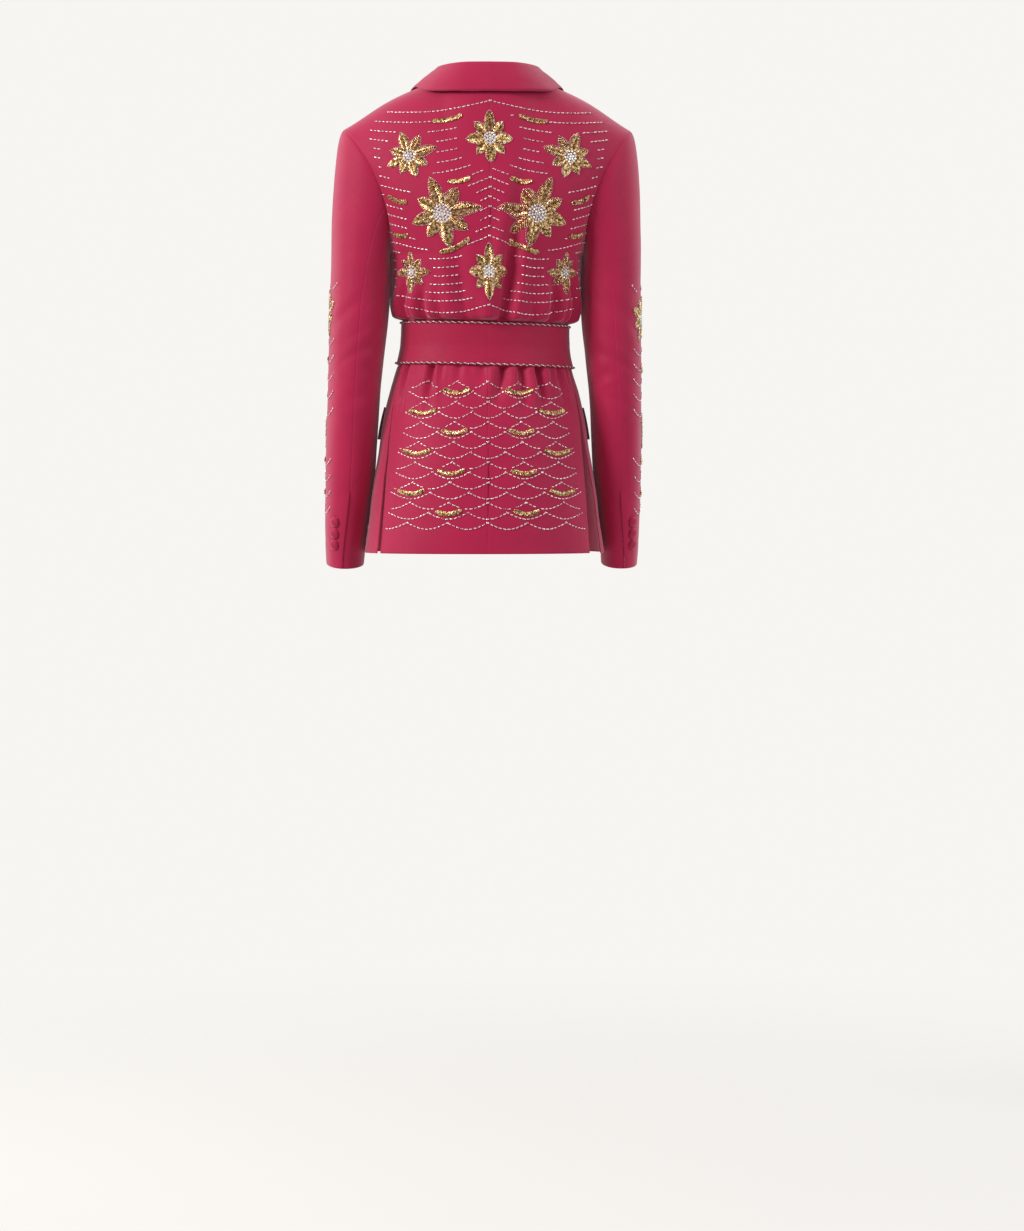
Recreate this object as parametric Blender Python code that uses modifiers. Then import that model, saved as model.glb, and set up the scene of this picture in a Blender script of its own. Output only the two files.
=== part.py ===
"""Embroidered jacket, belted and tailored, in the hollow form that it has when it is worn.

Metres, +Z up.  The front faces -Y, the wearer's left is +X, and the origin is where the
shoulders carry the jacket, in the middle of the neck.  Every wall is an open surface with
thickness.  The surfaces come from sections worked out from the sizes below.
"""
import math
from collections import namedtuple

import bmesh
import bpy
from mathutils import Vector

# Driving sizes
CLOTH = 0.0018
TRIM_CLOTH = 0.0016
GAP = 0.0003
SEAM_HALF_GAP = 0.0002
BELT_BOTTOM_Z = -0.4275
BELT_TOP_Z = -0.363
UNDERARM_Z = -0.262
NECK_BACK_Z = -0.002
SHOULDER_TIP_X = 0.214
SHOULDER_TIP_Z = -0.075
NECK_POINT = Vector((0.080, 0.004, -0.0005))
LAP_DEPTH = 0.0032
LEAN = 0.0106
WAIST_TILT = 0.032
WAIST_TILT_REACH = 0.110
BELT_THICKNESS = 0.0028
BELT_CLEARANCE = 0.0006
BELT_LAP = 13.0
BELT_LAP_STEP = 0.0035
BELT_LAP_START = -130.0
BELT_LAP_RAMP = 36.0
BELT_STEPS = 56
EDGING_RADIUS = 0.0023
EDGING_SEAT = 0.0007
EDGING_LAP = 12.5
EDGING_TURN = 357.5
BUTTON_RADIUS = 0.0078
BUTTON_HEIGHT = 0.0048
BUTTON_RIM = 0.0012
SIDES = {"left": 1, "right": -1}

# Sections of the torso below the underarm: half width, depth at the middle of back and front
Section = namedtuple("Section", "z half_width back front roundness")
TORSO = (
    Section(-0.705, 0.1770, 0.1430, -0.1300, 2.25),
    Section(-0.660, 0.1710, 0.1405, -0.1280, 2.25),
    Section(-0.610, 0.1650, 0.1370, -0.1255, 2.25),
    Section(-0.560, 0.1580, 0.1310, -0.1215, 2.25),
    Section(-0.505, 0.1500, 0.1205, -0.1140, 2.25),
    Section(-0.465, 0.1410, 0.1080, -0.1050, 2.25),
    Section(-0.4275, 0.1297, 0.0945, -0.0945, 2.20),
    Section(-0.395, 0.1235, 0.0885, -0.0905, 2.20),
    Section(-0.363, 0.1225, 0.0890, -0.0910, 2.20),
    Section(-0.357, 0.1260, 0.0925, -0.0940, 2.20),
    Section(-0.348, 0.1385, 0.1020, -0.1030, 2.20),
    Section(-0.335, 0.1420, 0.1045, -0.1065, 2.25),
    Section(-0.306, 0.1412, 0.1060, -0.1120, 2.30),
    Section(-0.262, 0.1450, 0.1110, -0.1180, 2.30),
    Section(-0.180, 0.1600, 0.1130, -0.1180, 2.30),
    Section(-0.100, 0.1900, 0.0980, -0.0960, 2.20),
    Section(-0.050, 0.2050, 0.0800, -0.0700, 2.10),
    Section(-0.002, 0.2210, 0.0560, -0.0400, 2.00),
)

# Where the side seam and, below the belt, the two edges of the vent lie, in degrees from the
# middle of the back; the flare is how far the front's vent edge swings outward
Vent = namedtuple("Vent", "z back_edge front_left front_right flare_left flare_right")
VENT = (
    Vent(-0.705, 60.0, 60.8, 71.0, 0.001, 0.006),
    Vent(-0.610, 63.0, 63.7, 70.0, 0.001, 0.005),
    Vent(-0.540, 65.5, 66.0, 69.0, 0.000, 0.002),
    Vent(-0.470, 69.0, 69.4, 69.6, 0.000, 0.000),
    Vent(-0.4275, 74.0, 74.0, 74.0, 0.000, 0.000),
    Vent(-0.363, 82.0, 82.0, 82.0, 0.000, 0.000),
    Vent(-0.262, 90.0, 90.0, 90.0, 0.000, 0.000),
)

# How far from the middle the front's edge runs: past it over the lap, then out along the neck
Edge = namedtuple("Edge", "z x")
FRONT_EDGE = (
    Edge(-0.705, -0.022),
    Edge(-0.640, -0.029),
    Edge(-0.345, -0.030),
    Edge(-0.320, -0.014),
    Edge(-0.300, 0.004),
    Edge(-0.262, 0.016),
    Edge(-0.200, 0.031),
    Edge(-0.140, 0.045),
    Edge(-0.080, 0.060),
    Edge(-0.040, 0.071),
    Edge(-0.002, 0.080),
)

# Neck edge of the back, from the middle to the neck point
Neck = namedtuple("Neck", "share x y z")
BACK_NECK = (
    Neck(0.00, 0.000, 0.0560, -0.0020),
    Neck(0.35, 0.031, 0.0520, -0.0015),
    Neck(0.70, 0.062, 0.0330, -0.0008),
    Neck(1.00, 0.080, 0.0040, -0.0005),
)
NECK_SHARE = 0.36
SHOULDER_START = 0.50
SHOULDER_CROWN = 2.6
SHOULDER_HALF_GAP = 0.0003
ARMHOLE_NARROWING = 30.0
ARMHOLE_NARROWING_RATE = 1.2

# Folds: signed degrees from the middle of the back (left is positive) at the top and the
# bottom end, their heights, the half width in degrees and the depth, with valleys negative
Fold = namedtuple("Fold", "turn_top turn_bottom z_top z_bottom spread depth")
FOLDS = (
    Fold(-14.0, -9.0, -0.135, -0.350, 6.0, -0.0035),
    Fold(19.0, 13.0, -0.190, -0.348, 5.5, -0.0022),
    Fold(57.0, 63.0, -0.290, -0.350, 5.5, -0.0040),
    Fold(41.0, 44.0, -0.305, -0.350, 4.5, -0.0028),
    Fold(-60.0, -66.0, -0.285, -0.350, 5.5, -0.0040),
    Fold(-42.0, -45.0, -0.300, -0.350, 4.5, -0.0028),
    Fold(64.0, 61.0, -0.434, -0.520, 4.5, -0.0030),
    Fold(35.0, 33.0, -0.434, -0.510, 4.5, -0.0034),
    Fold(-9.0, -2.0, -0.434, -0.490, 4.0, -0.0030),
    Fold(-21.0, -20.0, -0.434, -0.530, 4.2, -0.0032),
    Fold(-38.0, -36.0, -0.434, -0.500, 4.5, -0.0034),
    Fold(-53.0, -50.0, -0.434, -0.490, 4.5, -0.0026),
    Fold(118.0, 122.0, -0.290, -0.350, 6.0, -0.0034),
    Fold(-117.0, -121.0, -0.285, -0.350, 6.0, -0.0034),
    Fold(140.0, 146.0, -0.300, -0.350, 5.0, -0.0028),
    Fold(-142.0, -147.0, -0.300, -0.350, 5.0, -0.0028),
    Fold(112.0, 110.0, -0.434, -0.500, 5.0, -0.0030),
    Fold(-113.0, -110.0, -0.434, -0.495, 5.0, -0.0030),
    Fold(139.0, 137.0, -0.434, -0.480, 5.0, -0.0028),
    Fold(-140.0, -138.0, -0.434, -0.485, 5.0, -0.0028),
)

# Armhole: an ellipse seen along the arm, bowed in towards the body behind and in front
ARMHOLE_CENTRE = Vector((0.1795, 0.0, -0.1685))
ARMHOLE_UP = Vector((0.0345, 0.0, 0.0935))
ARMHOLE_DEPTH = 0.066
ARMHOLE_BOW = 0.020

# Sections of the sleeve: outer and inner side, half depth, middle in depth, tilt of the ring
Arm = namedtuple("Arm", "z outer inner half_depth middle tilt")
SLEEVE = (
    Arm(-0.722, 0.2330, 0.1810, 0.0470, -0.0340, -0.16),
    Arm(-0.690, 0.2350, 0.1780, 0.0485, -0.0285, -0.15),
    Arm(-0.640, 0.2366, 0.1715, 0.0510, -0.0190, -0.14),
    Arm(-0.580, 0.2370, 0.1645, 0.0545, -0.0095, -0.12),
    Arm(-0.530, 0.2360, 0.1610, 0.0575, -0.0030, -0.09),
    Arm(-0.475, 0.2348, 0.1572, 0.0605, 0.0020, -0.05),
    Arm(-0.420, 0.2340, 0.1530, 0.0630, 0.0045, -0.01),
    Arm(-0.354, 0.2330, 0.1470, 0.0655, 0.0035, 0.0),
    Arm(-0.300, 0.2318, 0.1432, 0.0675, 0.0010, 0.0),
)
BICEP_Z = -0.300

# Seams of the sleeve, in degrees round the arm: 0 outside, 90 behind, 270 in front
Seam = namedtuple("Seam", "z elbow front")
SLEEVE_SEAMS = (
    Seam(-0.722, 82.0, 244.0),
    Seam(-0.604, 90.0, 242.0),
    Seam(-0.354, 90.0, 240.0),
    Seam(-0.262, 99.0, 238.0),
    Seam(-0.168, 108.0, 236.0),
)

# Creases of the sleeve: degrees round the arm, height, slant along the arm for each degree,
# half length in degrees, half width along the arm and depth
Crease = namedtuple("Crease", "turn z slant reach width depth")
CREASES = (
    Crease(112.0, -0.405, 0.00035, 34.0, 0.0090, -0.0030),
    Crease(128.0, -0.440, -0.00030, 36.0, 0.0100, -0.0034),
    Crease(96.0, -0.472, 0.00030, 30.0, 0.0100, -0.0026),
    Crease(64.0, -0.352, 0.00070, 34.0, 0.0110, -0.0026),
    Crease(268.0, -0.425, -0.00040, 40.0, 0.0110, -0.0036),
    Crease(290.0, -0.455, 0.00030, 34.0, 0.0100, -0.0030),
)

# Collar: each row gives a share of the way from the middle of the back to the front end, the
# fold, and the outer edge of the fall
CollarRow = namedtuple("CollarRow", "share seam_x seam_y seam_z fold_x fold_y fold_z edge_x edge_y edge_z")
COLLAR = (
    CollarRow(0.00, 0.000, 0.0541, -0.0016, 0.000, 0.0530, 0.0195, 0.000, 0.0795, -0.0185),
    CollarRow(0.20, 0.0303, 0.0504, -0.0011, 0.030, 0.0495, 0.0195, 0.041, 0.0762, -0.0178),
    CollarRow(0.42, 0.0605, 0.0316, -0.0003, 0.058, 0.0320, 0.0180, 0.088, 0.0490, -0.0138),
    CollarRow(0.60, 0.0782, 0.0040, 0.0002, 0.0725, 0.0050, 0.0145, 0.110, 0.0060, -0.0105),
    CollarRow(0.78, 0.0705, -0.0285, -0.0035, 0.0715, -0.0310, 0.0050, 0.118, -0.0335, -0.0235),
    CollarRow(1.00, 0.0605, -0.0635, -0.0390, 0.0655, -0.0710, -0.0375, 0.1150, -0.0700, -0.0540),
)
COLLAR_FOLD_RADIUS = 0.0030
COLLAR_BOW = 0.0030
COLLAR_COLUMNS = 9

# Lapel: each row gives the height, where the roll line and the outer edge lie, and the drop
# of the outer edge below the roll line
LapelRow = namedtuple("LapelRow", "z roll_x outer_x outer_drop")
LAPEL = (
    LapelRow(-0.297, 0.0050, 0.0110, 0.002),
    LapelRow(-0.240, 0.0215, 0.0540, -0.006),
    LapelRow(-0.180, 0.0360, 0.0860, -0.010),
    LapelRow(-0.115, 0.0500, 0.1120, -0.006),
    LapelRow(-0.047, 0.0625, 0.1210, 0.032),
)
LAPEL_LIFT = 0.0030
LAPEL_SWELL = 0.0022
LAPEL_STEPS = 8

# Pocket flap: degrees from the middle of the back, top and bottom height, lift of each edge
FLAP_TURNS = (88.0, 141.0)
FLAP_TOP_Z = -0.4880
FLAP_BOTTOM_Z = -0.5360
FLAP_LIFT_TOP = 0.0026
FLAP_LIFT_BOTTOM = 0.0048
FLAP_COLUMNS = 9

# Cuff buttons: heights of the three, and degrees round the arm
BUTTON_HEIGHTS = (-0.6530, -0.6700, -0.6870)
BUTTON_TURN = 58.0

# How finely the walls are divided
BACK_COLUMNS = 14
FRONT_COLUMNS = 12
SLEEVE_TOP_COLUMNS = 11
SLEEVE_UNDER_COLUMNS = 9
BORDER = 0.012
TORSO_ROWS = (-0.705, -0.655, -0.605, -0.560, -0.525, -0.495, -0.468, -0.447, -0.431, -0.4275, -0.400,
              -0.363, -0.357, -0.351, -0.345, -0.335, -0.318, -0.297, -0.262, -0.235, -0.205,
              -0.175, -0.145, -0.118, -0.096, -0.078, -0.063, -0.050, -0.035, -0.018, -0.002)
SLEEVE_HEAD_ROWS = (0.0, 0.05, 0.12, 0.22, 0.36, 0.52, 0.68, 0.84)
SLEEVE_ROWS = (-0.300, -0.345, -0.375, -0.395, -0.413, -0.432, -0.452, -0.475, -0.505, -0.545, -0.590,
               -0.640, -0.690, -0.722)


def smooth(rows, column, at):
    """Value of a named column on a smooth curve through the rows, keyed by the first column."""
    table = sorted(rows, key=lambda row: row[0])
    keys = [row[0] for row in table]
    values = [getattr(row, column) for row in table]
    if at <= keys[0]:
        return values[0]
    if at >= keys[-1]:
        return values[-1]
    rises = [(values[i + 1] - values[i]) / (keys[i + 1] - keys[i]) for i in range(len(keys) - 1)]
    slopes = [rises[0]]
    for before, after in zip(rises, rises[1:]):
        slopes.append(0.0 if before * after <= 0 else 2 * before * after / (before + after))
    slopes.append(rises[-1])
    i = max(k for k in range(len(keys) - 1) if keys[k] <= at)
    step = keys[i + 1] - keys[i]
    t = (at - keys[i]) / step
    return (values[i] * (2 * t**3 - 3 * t**2 + 1) + values[i + 1] * (3 * t**2 - 2 * t**3)
            + slopes[i] * step * (t**3 - 2 * t**2 + t) + slopes[i + 1] * step * (t**3 - t**2))


def ease(t):
    """Smooth step from 0 to 1."""
    t = min(1.0, max(0.0, t))
    return t * t * (3 - 2 * t)


def sine_of(degrees, roundness):
    """Sine of an angle, squared off for a section that is rounder than an ellipse."""
    value = math.sin(math.radians(degrees))
    return math.copysign(abs(value) ** (2 / roundness), value)


def cosine_of(degrees, roundness):
    """Cosine of an angle, squared off in the same way."""
    value = math.cos(math.radians(degrees))
    return math.copysign(abs(value) ** (2 / roundness), value)


def armhole(turn):
    """Point of the left armhole; the turn is 0 at the shoulder tip and 90 behind."""
    angle = math.radians(turn)
    point = ARMHOLE_CENTRE + ARMHOLE_UP * math.cos(angle)
    point.x -= ARMHOLE_BOW * math.sin(angle) ** 2
    point.y += ARMHOLE_DEPTH * math.sin(angle)
    return point


def rise(z):
    """Share of the way from the underarm to the neck, for the middle of a row."""
    return (z - UNDERARM_Z) / (NECK_BACK_Z - UNDERARM_Z)


def edge_turn(z):
    """Angle of the armhole edge, from the middle of its face, on the row at z."""
    share = min(1.0, max(0.0, rise(z)))
    return 90.0 - ARMHOLE_NARROWING * ease(share * ARMHOLE_NARROWING_RATE)


def shoulder_row(is_back, share):
    """Top edge of a panel: the neck edge, then the shoulder seam out to its tip."""
    tip = Vector((SHOULDER_TIP_X, 0.0, SHOULDER_TIP_Z))
    if share >= NECK_SHARE:
        return NECK_POINT.lerp(tip, (share - NECK_SHARE) / (1 - NECK_SHARE))
    if is_back:
        along = share / NECK_SHARE
        return Vector([smooth(BACK_NECK, axis, along) for axis in ("x", "y", "z")])
    return NECK_POINT.copy()


def fold_depth(turn, z):
    """Depth of all folds together at an angle from the middle of the back and a height."""
    total = 0.0
    for fold in FOLDS:
        along = (fold.z_top - z) / (fold.z_top - fold.z_bottom)
        if not -0.15 < along < 1.0:
            continue
        line = fold.turn_top + (fold.turn_bottom - fold.turn_top) * along
        across = (turn - line) / fold.spread
        below_belt = fold.z_top < BELT_BOTTOM_Z
        fade = ease(1 - along) if below_belt else ease(along * 1.2)
        start = ease((fold.z_top - z + 0.004) / 0.02) if below_belt else ease((z - fold.z_bottom) / 0.012)
        ridge = math.exp(-across**2) - 0.45 * math.exp(-((abs(across) - 2.0) ** 2))
        total += fold.depth * ridge * fade * start
    return total


def body(side, is_back, turn, z, lift=0.0):
    """Point of the body's outer surface.

    The turn is in degrees from the middle of the back or of the front, towards the side.
    The height z is that of the row at the middle; above the underarm the rows drop outward.
    """
    sign = SIDES[side]
    depth = smooth(TORSO, "back" if is_back else "front", z)
    roundness = smooth(TORSO, "roundness", z)
    if z <= UNDERARM_Z:
        from_back = turn if is_back else 180.0 - turn
        width = smooth(TORSO, "half_width", z)
        beside = cosine_of(from_back, roundness)
        far = smooth(TORSO, "back", z) if beside >= 0 else -smooth(TORSO, "front", z)
        point = Vector((width * sine_of(from_back, roundness), far * beside, z))
        out = Vector((point.x / width, point.y / abs(far), 0.0)).normalized()
        point += out * fold_depth(sign * from_back, z)
    else:
        share = rise(z)
        hole = armhole((1 if is_back else -1) * 180.0 * (1 - share))
        last = edge_turn(z)
        across = sine_of(turn, roundness) / sine_of(last, roundness)
        inward = cosine_of(turn, roundness) - cosine_of(last, roundness)
        point = Vector((hole.x * across, 0.0, 0.0))
        point.y = hole.y + (depth - hole.y) * inward / (1 - cosine_of(last, roundness))
        point.z = z + (hole.z - z) * abs(across) ** 2.0
        tip = Vector((SHOULDER_TIP_X, 0.0, SHOULDER_TIP_Z))
        top = shoulder_row(is_back, max(0.0, min(1.0, across))) + (hole - tip) * abs(across) ** 4
        over = max(0.0, (share - SHOULDER_START) / (1 - SHOULDER_START))
        near = over * over * (2 - over)
        crown = 1 - (1 - near) ** SHOULDER_CROWN
        point = Vector((point.x + (top.x - point.x) * near, point.y + (top.y - point.y) * near,
                        point.z + (top.z - point.z) * crown))
        out = Vector((point.x / 0.2, point.y / 0.11, 0.25 + share)).normalized()
        from_back = turn if is_back else 180.0 - turn
        point += out * fold_depth(sign * from_back, z) * ease((1 - share) * 2)
    if lift:
        point += out * lift
    return Vector((sign * point.x, point.y, point.z))


def settle(point):
    """The worn jacket leans to its left towards the hem, and its waist sits higher on the left."""
    belt_z = (BELT_BOTTOM_Z + BELT_TOP_Z) / 2
    near_waist = ease(1 - abs(point.z - belt_z) / WAIST_TILT_REACH)
    return Vector((point.x - LEAN * point.z, point.y, point.z + WAIST_TILT * point.x * near_waist))


def turn_at(x, z):
    """Degrees from the middle of the front at which the row at z lies x from the middle."""
    roundness = smooth(TORSO, "roundness", z)
    width = smooth(TORSO, "half_width", z)
    last = 90.0
    if z > UNDERARM_Z:
        width = armhole(180.0 * (1 - rise(z))).x
        last = edge_turn(z)
    share = min(1.0, abs(x) / width) ** (roundness / 2) * math.sin(math.radians(last))
    return math.copysign(math.degrees(math.asin(share)), x)


def fractions(count, border=BORDER):
    """Shares of a panel's width, with a narrow strip along each edge."""
    inner = [border + (1 - 2 * border) * i / (count - 2) for i in range(count - 1)]
    return [0.0] + inner + [1.0]


def finish(name, color, roughness, metallic=0.0):
    """A Principled material."""
    material = bpy.data.materials.new(name)
    material.use_nodes = True
    shader = material.node_tree.nodes["Principled BSDF"]
    shader.inputs["Base Color"].default_value = (*color, 1.0)
    shader.inputs["Roughness"].default_value = roughness
    shader.inputs["Metallic"].default_value = metallic
    return material


def place(mesh, name, collection, material):
    """Object of a mesh, shaded smooth, in the jacket's collection."""
    obj = bpy.data.objects.new(name, mesh)
    mesh.materials.append(material)
    mesh.shade_smooth()
    collection.objects.link(obj)
    return obj


def loft(grid, name, collection, material, outward, thickness=CLOTH):
    """Open surface through rows of points, given a wall of the cloth's thickness inward.

    `outward` is a rough outward direction at the middle of the grid.
    """
    bm = bmesh.new()
    rows = [[bm.verts.new(settle(point)) for point in row] for row in grid]
    for lower, upper in zip(rows, rows[1:]):
        for i in range(len(lower) - 1):
            bm.faces.new((lower[i], lower[i + 1], upper[i + 1], upper[i]))
    bm.normal_update()
    middle = bm.faces[:][len(bm.faces) // 2]
    if middle.normal.dot(outward) < 0:
        bmesh.ops.reverse_faces(bm, faces=bm.faces[:])
    mesh = bpy.data.meshes.new(name)
    bm.to_mesh(mesh)
    bm.free()
    obj = place(mesh, name, collection, material)
    wall = obj.modifiers.new("wall", "SOLIDIFY")
    wall.thickness = thickness
    wall.offset = -1.0
    wall.use_even_offset = True
    wall.use_quality_normals = True
    return obj


def shoulder_gap(point):
    """Half of the gap at the shoulder seam, a little wider at its tip, where the walls turn."""
    return SHOULDER_HALF_GAP * (1 + 2 * (abs(point.x) / SHOULDER_TIP_X) ** 4)


def back_panel(side, collection, material):
    """Half of the back, from the centre seam to the side seam, vent and armhole."""
    grid = []
    for z in TORSO_ROWS:
        last = smooth(VENT, "back_edge", z) if z <= UNDERARM_Z else edge_turn(z)
        seam = math.degrees(SEAM_HALF_GAP / 0.12)
        grid.append([body(side, True, seam + (last - 2 * seam) * s, z) for s in fractions(BACK_COLUMNS)])
        for point in grid[-1]:
            if abs(point.x) < SEAM_HALF_GAP:
                point.x = SIDES[side] * SEAM_HALF_GAP
    for point in grid[-1]:
        point.y += shoulder_gap(point)
    return loft(grid, f"back_{side}", collection, material, Vector((0, 1, 0)))


def front_panel(side, collection, material):
    """One front, from its lapped edge and the neck to the side seam, vent and armhole."""
    grid = []
    for z in TORSO_ROWS:
        first = turn_at(smooth(FRONT_EDGE, "x", z), z)
        last = 180.0 - smooth(VENT, f"front_{side}", z) if z <= UNDERARM_Z else edge_turn(z)
        seam = math.degrees(SEAM_HALF_GAP / 0.12)
        row = []
        for s in fractions(FRONT_COLUMNS):
            turn = first + (last - seam - first) * s
            flare = smooth(VENT, f"flare_{side}", z) * ease((s - 0.7) / 0.3)
            under = 0.0
            if side == "left":
                x = abs(body(side, False, turn, z).x) if turn > 0 else 0.0
                under = LAP_DEPTH * ease((0.060 - x) / 0.024) * ease((-0.255 - z) / 0.05)
            row.append(body(side, False, turn, z, flare - under))
        grid.append(row)
    for point in grid[-1]:
        point.y -= shoulder_gap(point)
    return loft(grid, f"front_{side}", collection, material, Vector((0, -1, 0)))


def sleeve_section(turn, z):
    """Point of the left sleeve's ring at z, before its creases."""
    outer = smooth(SLEEVE, "outer", z)
    inner = smooth(SLEEVE, "inner", z)
    across = math.cos(math.radians(turn))
    behind = math.sin(math.radians(turn))
    depth = smooth(SLEEVE, "half_depth", z)
    x = (outer + inner) / 2 + (outer - inner) / 2 * math.copysign(abs(across) ** 0.92, across)
    y = smooth(SLEEVE, "middle", z) + depth * math.copysign(abs(behind) ** 0.95, behind)
    return Vector((x, y, z + smooth(SLEEVE, "tilt", z) * -depth * -behind))


def crease_depth(turn, z):
    """Depth of all creases of a sleeve together."""
    total = 0.0
    for crease in CREASES:
        round_arm = (turn - crease.turn) / crease.reach
        along = (z - crease.z - crease.slant * (turn - crease.turn)) / crease.width
        total += crease.depth * math.exp(-round_arm**2) * (math.exp(-along**2)
                                                         - 0.4 * math.exp(-((abs(along) - 1.9) ** 2)))
    return total


def sleeve_point(side, turn, row, lift=0.0):
    """Point of a sleeve: rows from 0 to 1 lie in its head, and a negative row is a height."""
    angle = math.radians(turn)
    if row >= 0:
        start = armhole(turn)
        end = sleeve_section(turn, BICEP_Z)
        lifted = (1 + math.cos(angle)) / 2
        beside = abs(math.sin(angle))
        leave = Vector((0.014 + 0.040 * lifted**2 + 0.016 * beside, 0.018 * math.sin(angle),
                        0.003 - 0.007 * lifted - 0.020 * beside))
        start = start + leave.normalized() * 2 * GAP
        arrive = Vector((0.0, 0.0, -0.9 * abs(start.z - end.z)))
        t = row
        point = (start * (2 * t**3 - 3 * t**2 + 1) + end * (3 * t**2 - 2 * t**3)
                 + leave * (t**3 - 2 * t**2 + t) + arrive * (t**3 - t**2))
    else:
        point = sleeve_section(turn, row)
    centre_x = (smooth(SLEEVE, "outer", min(row, BICEP_Z)) + smooth(SLEEVE, "inner", min(row, BICEP_Z))) / 2
    out = Vector((point.x - centre_x, (point.y - smooth(SLEEVE, "middle", min(row, BICEP_Z))) * 0.6, 0.0))
    out.normalize()
    depth = crease_depth(turn, row) if row < 0 else 0.0
    point = point + out * (depth + lift)
    return Vector((SIDES[side] * point.x, point.y, point.z))


def sleeve_piece(side, part, collection, material):
    """Top or under piece of a two-piece sleeve, from the armhole to the cuff."""
    columns = SLEEVE_TOP_COLUMNS if part == "top" else SLEEVE_UNDER_COLUMNS
    grid = []
    for row in SLEEVE_HEAD_ROWS + SLEEVE_ROWS:
        z = row if row < 0 else armhole(100.0).z * (1 - row) + BICEP_Z * row
        elbow = smooth(SLEEVE_SEAMS, "elbow", z)
        front = smooth(SLEEVE_SEAMS, "front", z)
        seam = math.degrees(1.5 * SEAM_HALF_GAP / 0.04)
        first, last = (front - 360.0 + seam, elbow - seam) if part == "top" else (elbow + seam, front - seam)
        grid.append([sleeve_point(side, first + (last - first) * s, row) for s in fractions(columns, 0.015)])
    outward = Vector((SIDES[side], 0, 0)) * (1 if part == "top" else -1)
    return loft(grid, f"sleeve_{part}_{side}", collection, material, outward)


def collar(collection, material):
    """Stand and fall of the collar in one, folded over round the back of the neck."""
    grid = []
    shares = [i / COLLAR_COLUMNS for i in range(COLLAR_COLUMNS + 1)]
    for share in [-s for s in reversed(shares[1:])] + shares:
        sign = -1 if share < 0 else 1
        at = abs(share)
        seam, fold, edge = [Vector([smooth(COLLAR, f"{part}_{axis}", at) for axis in "xyz"])
                            for part in ("seam", "fold", "edge")]
        away = Vector((edge.x - fold.x, edge.y - fold.y, 0.0)).normalized()
        radius = COLLAR_FOLD_RADIUS * (1 - 0.25 * ease((at - 0.7) / 0.3))
        row = [seam, seam.lerp(fold, 0.6)]
        for angle in (150.0, 90.0, 30.0):
            turned = math.radians(angle)
            up = Vector((0, 0, radius * math.sin(turned)))
            row.append(fold + away * radius * (1 + math.cos(turned)) + up)
        shoulder = fold + away * 2.2 * radius
        for along in (0.3, 0.65, 1.0):
            bow = Vector((0, 0, COLLAR_BOW * math.sin(math.pi * along)))
            row.append(shoulder.lerp(edge, along) + bow)
        grid.append([Vector((sign * p.x, p.y, p.z)) for p in row])
    return loft(grid, "collar", collection, material, Vector((0, -1, 0)), TRIM_CLOTH)


def front_at(side, x, z, lift):
    """Point on a front at a distance from the middle and at a height, found by halving."""
    low = z - 0.15
    high = NECK_BACK_Z
    for _ in range(24):
        row = (low + high) / 2
        if body(side, False, turn_at(x, row), row).z < z:
            low = row
        else:
            high = row
    return body(side, False, turn_at(x, row), row, lift)


def lapel(side, collection, material):
    """A lapel, turned back along the roll line and lying on its front."""
    grid = []
    for i in range(LAPEL_STEPS + 1):
        share = i / LAPEL_STEPS
        z = LAPEL[0].z + (LAPEL[-1].z - LAPEL[0].z) * share
        roll = smooth(LAPEL, "roll_x", z)
        outer = smooth(LAPEL, "outer_x", z)
        drop = smooth(LAPEL, "outer_drop", z)
        row = []
        for across in (0.0, 0.06, 0.3, 0.65, 1.0):
            lift = LAPEL_LIFT + LAPEL_SWELL * math.sin(math.pi * across) * ease(share * 3)
            row.append(front_at(side, roll + (outer - roll) * across, z - drop * across**3, lift))
        grid.append(row)
    return loft(grid, f"lapel_{side}", collection, material, Vector((0, -1, 0)), TRIM_CLOTH)


def pocket_flap(side, collection, material):
    """A pocket flap, made from the front's points, moved out."""
    grid = []
    for down in (0.0, 0.5, 1.0):
        z = FLAP_TOP_Z + (FLAP_BOTTOM_Z - FLAP_TOP_Z) * down
        lift = FLAP_LIFT_TOP + (FLAP_LIFT_BOTTOM - FLAP_LIFT_TOP) * down
        first, last = FLAP_TURNS
        steps = [i / FLAP_COLUMNS for i in range(FLAP_COLUMNS + 1)]
        grid.append([body(side, False, 180.0 - (first + (last - first) * s), z, lift) for s in steps])
    return loft(grid, f"pocket_flap_{side}", collection, material, Vector((SIDES[side], -1, 0)), TRIM_CLOTH)


def belt_point(turn, z, out):
    """Point round the belt, in degrees from the middle of the back to the left and on."""
    width = smooth(TORSO, "half_width", z) + out
    roundness = smooth(TORSO, "roundness", z)
    beside = cosine_of(turn, roundness)
    far = smooth(TORSO, "back", z) if beside >= 0 else -smooth(TORSO, "front", z)
    return Vector((width * sine_of(turn, roundness), (far + out) * beside, z))


def lap_step(turn):
    """How far the belt steps out where its right end laps over the left."""
    return BELT_LAP_STEP * ease((BELT_LAP_START - turn) / BELT_LAP_RAMP)


def belt(collection, material):
    """The belt: one turn round the waist whose right end laps over the left."""
    first, last = -180.0 - BELT_LAP, 180.0 + BELT_LAP
    outer = BELT_CLEARANCE + BELT_THICKNESS
    grid = []
    for z in (BELT_BOTTOM_Z, (BELT_BOTTOM_Z + BELT_TOP_Z) / 2, BELT_TOP_Z):
        row = []
        for i in range(BELT_STEPS + 1):
            turn = first + (last - first) * i / BELT_STEPS
            row.append(belt_point(turn, z, outer + lap_step(turn)))
        grid.append(row)
    return loft(grid, "belt", collection, material, Vector((0, -1, 0)), BELT_THICKNESS)


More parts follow.
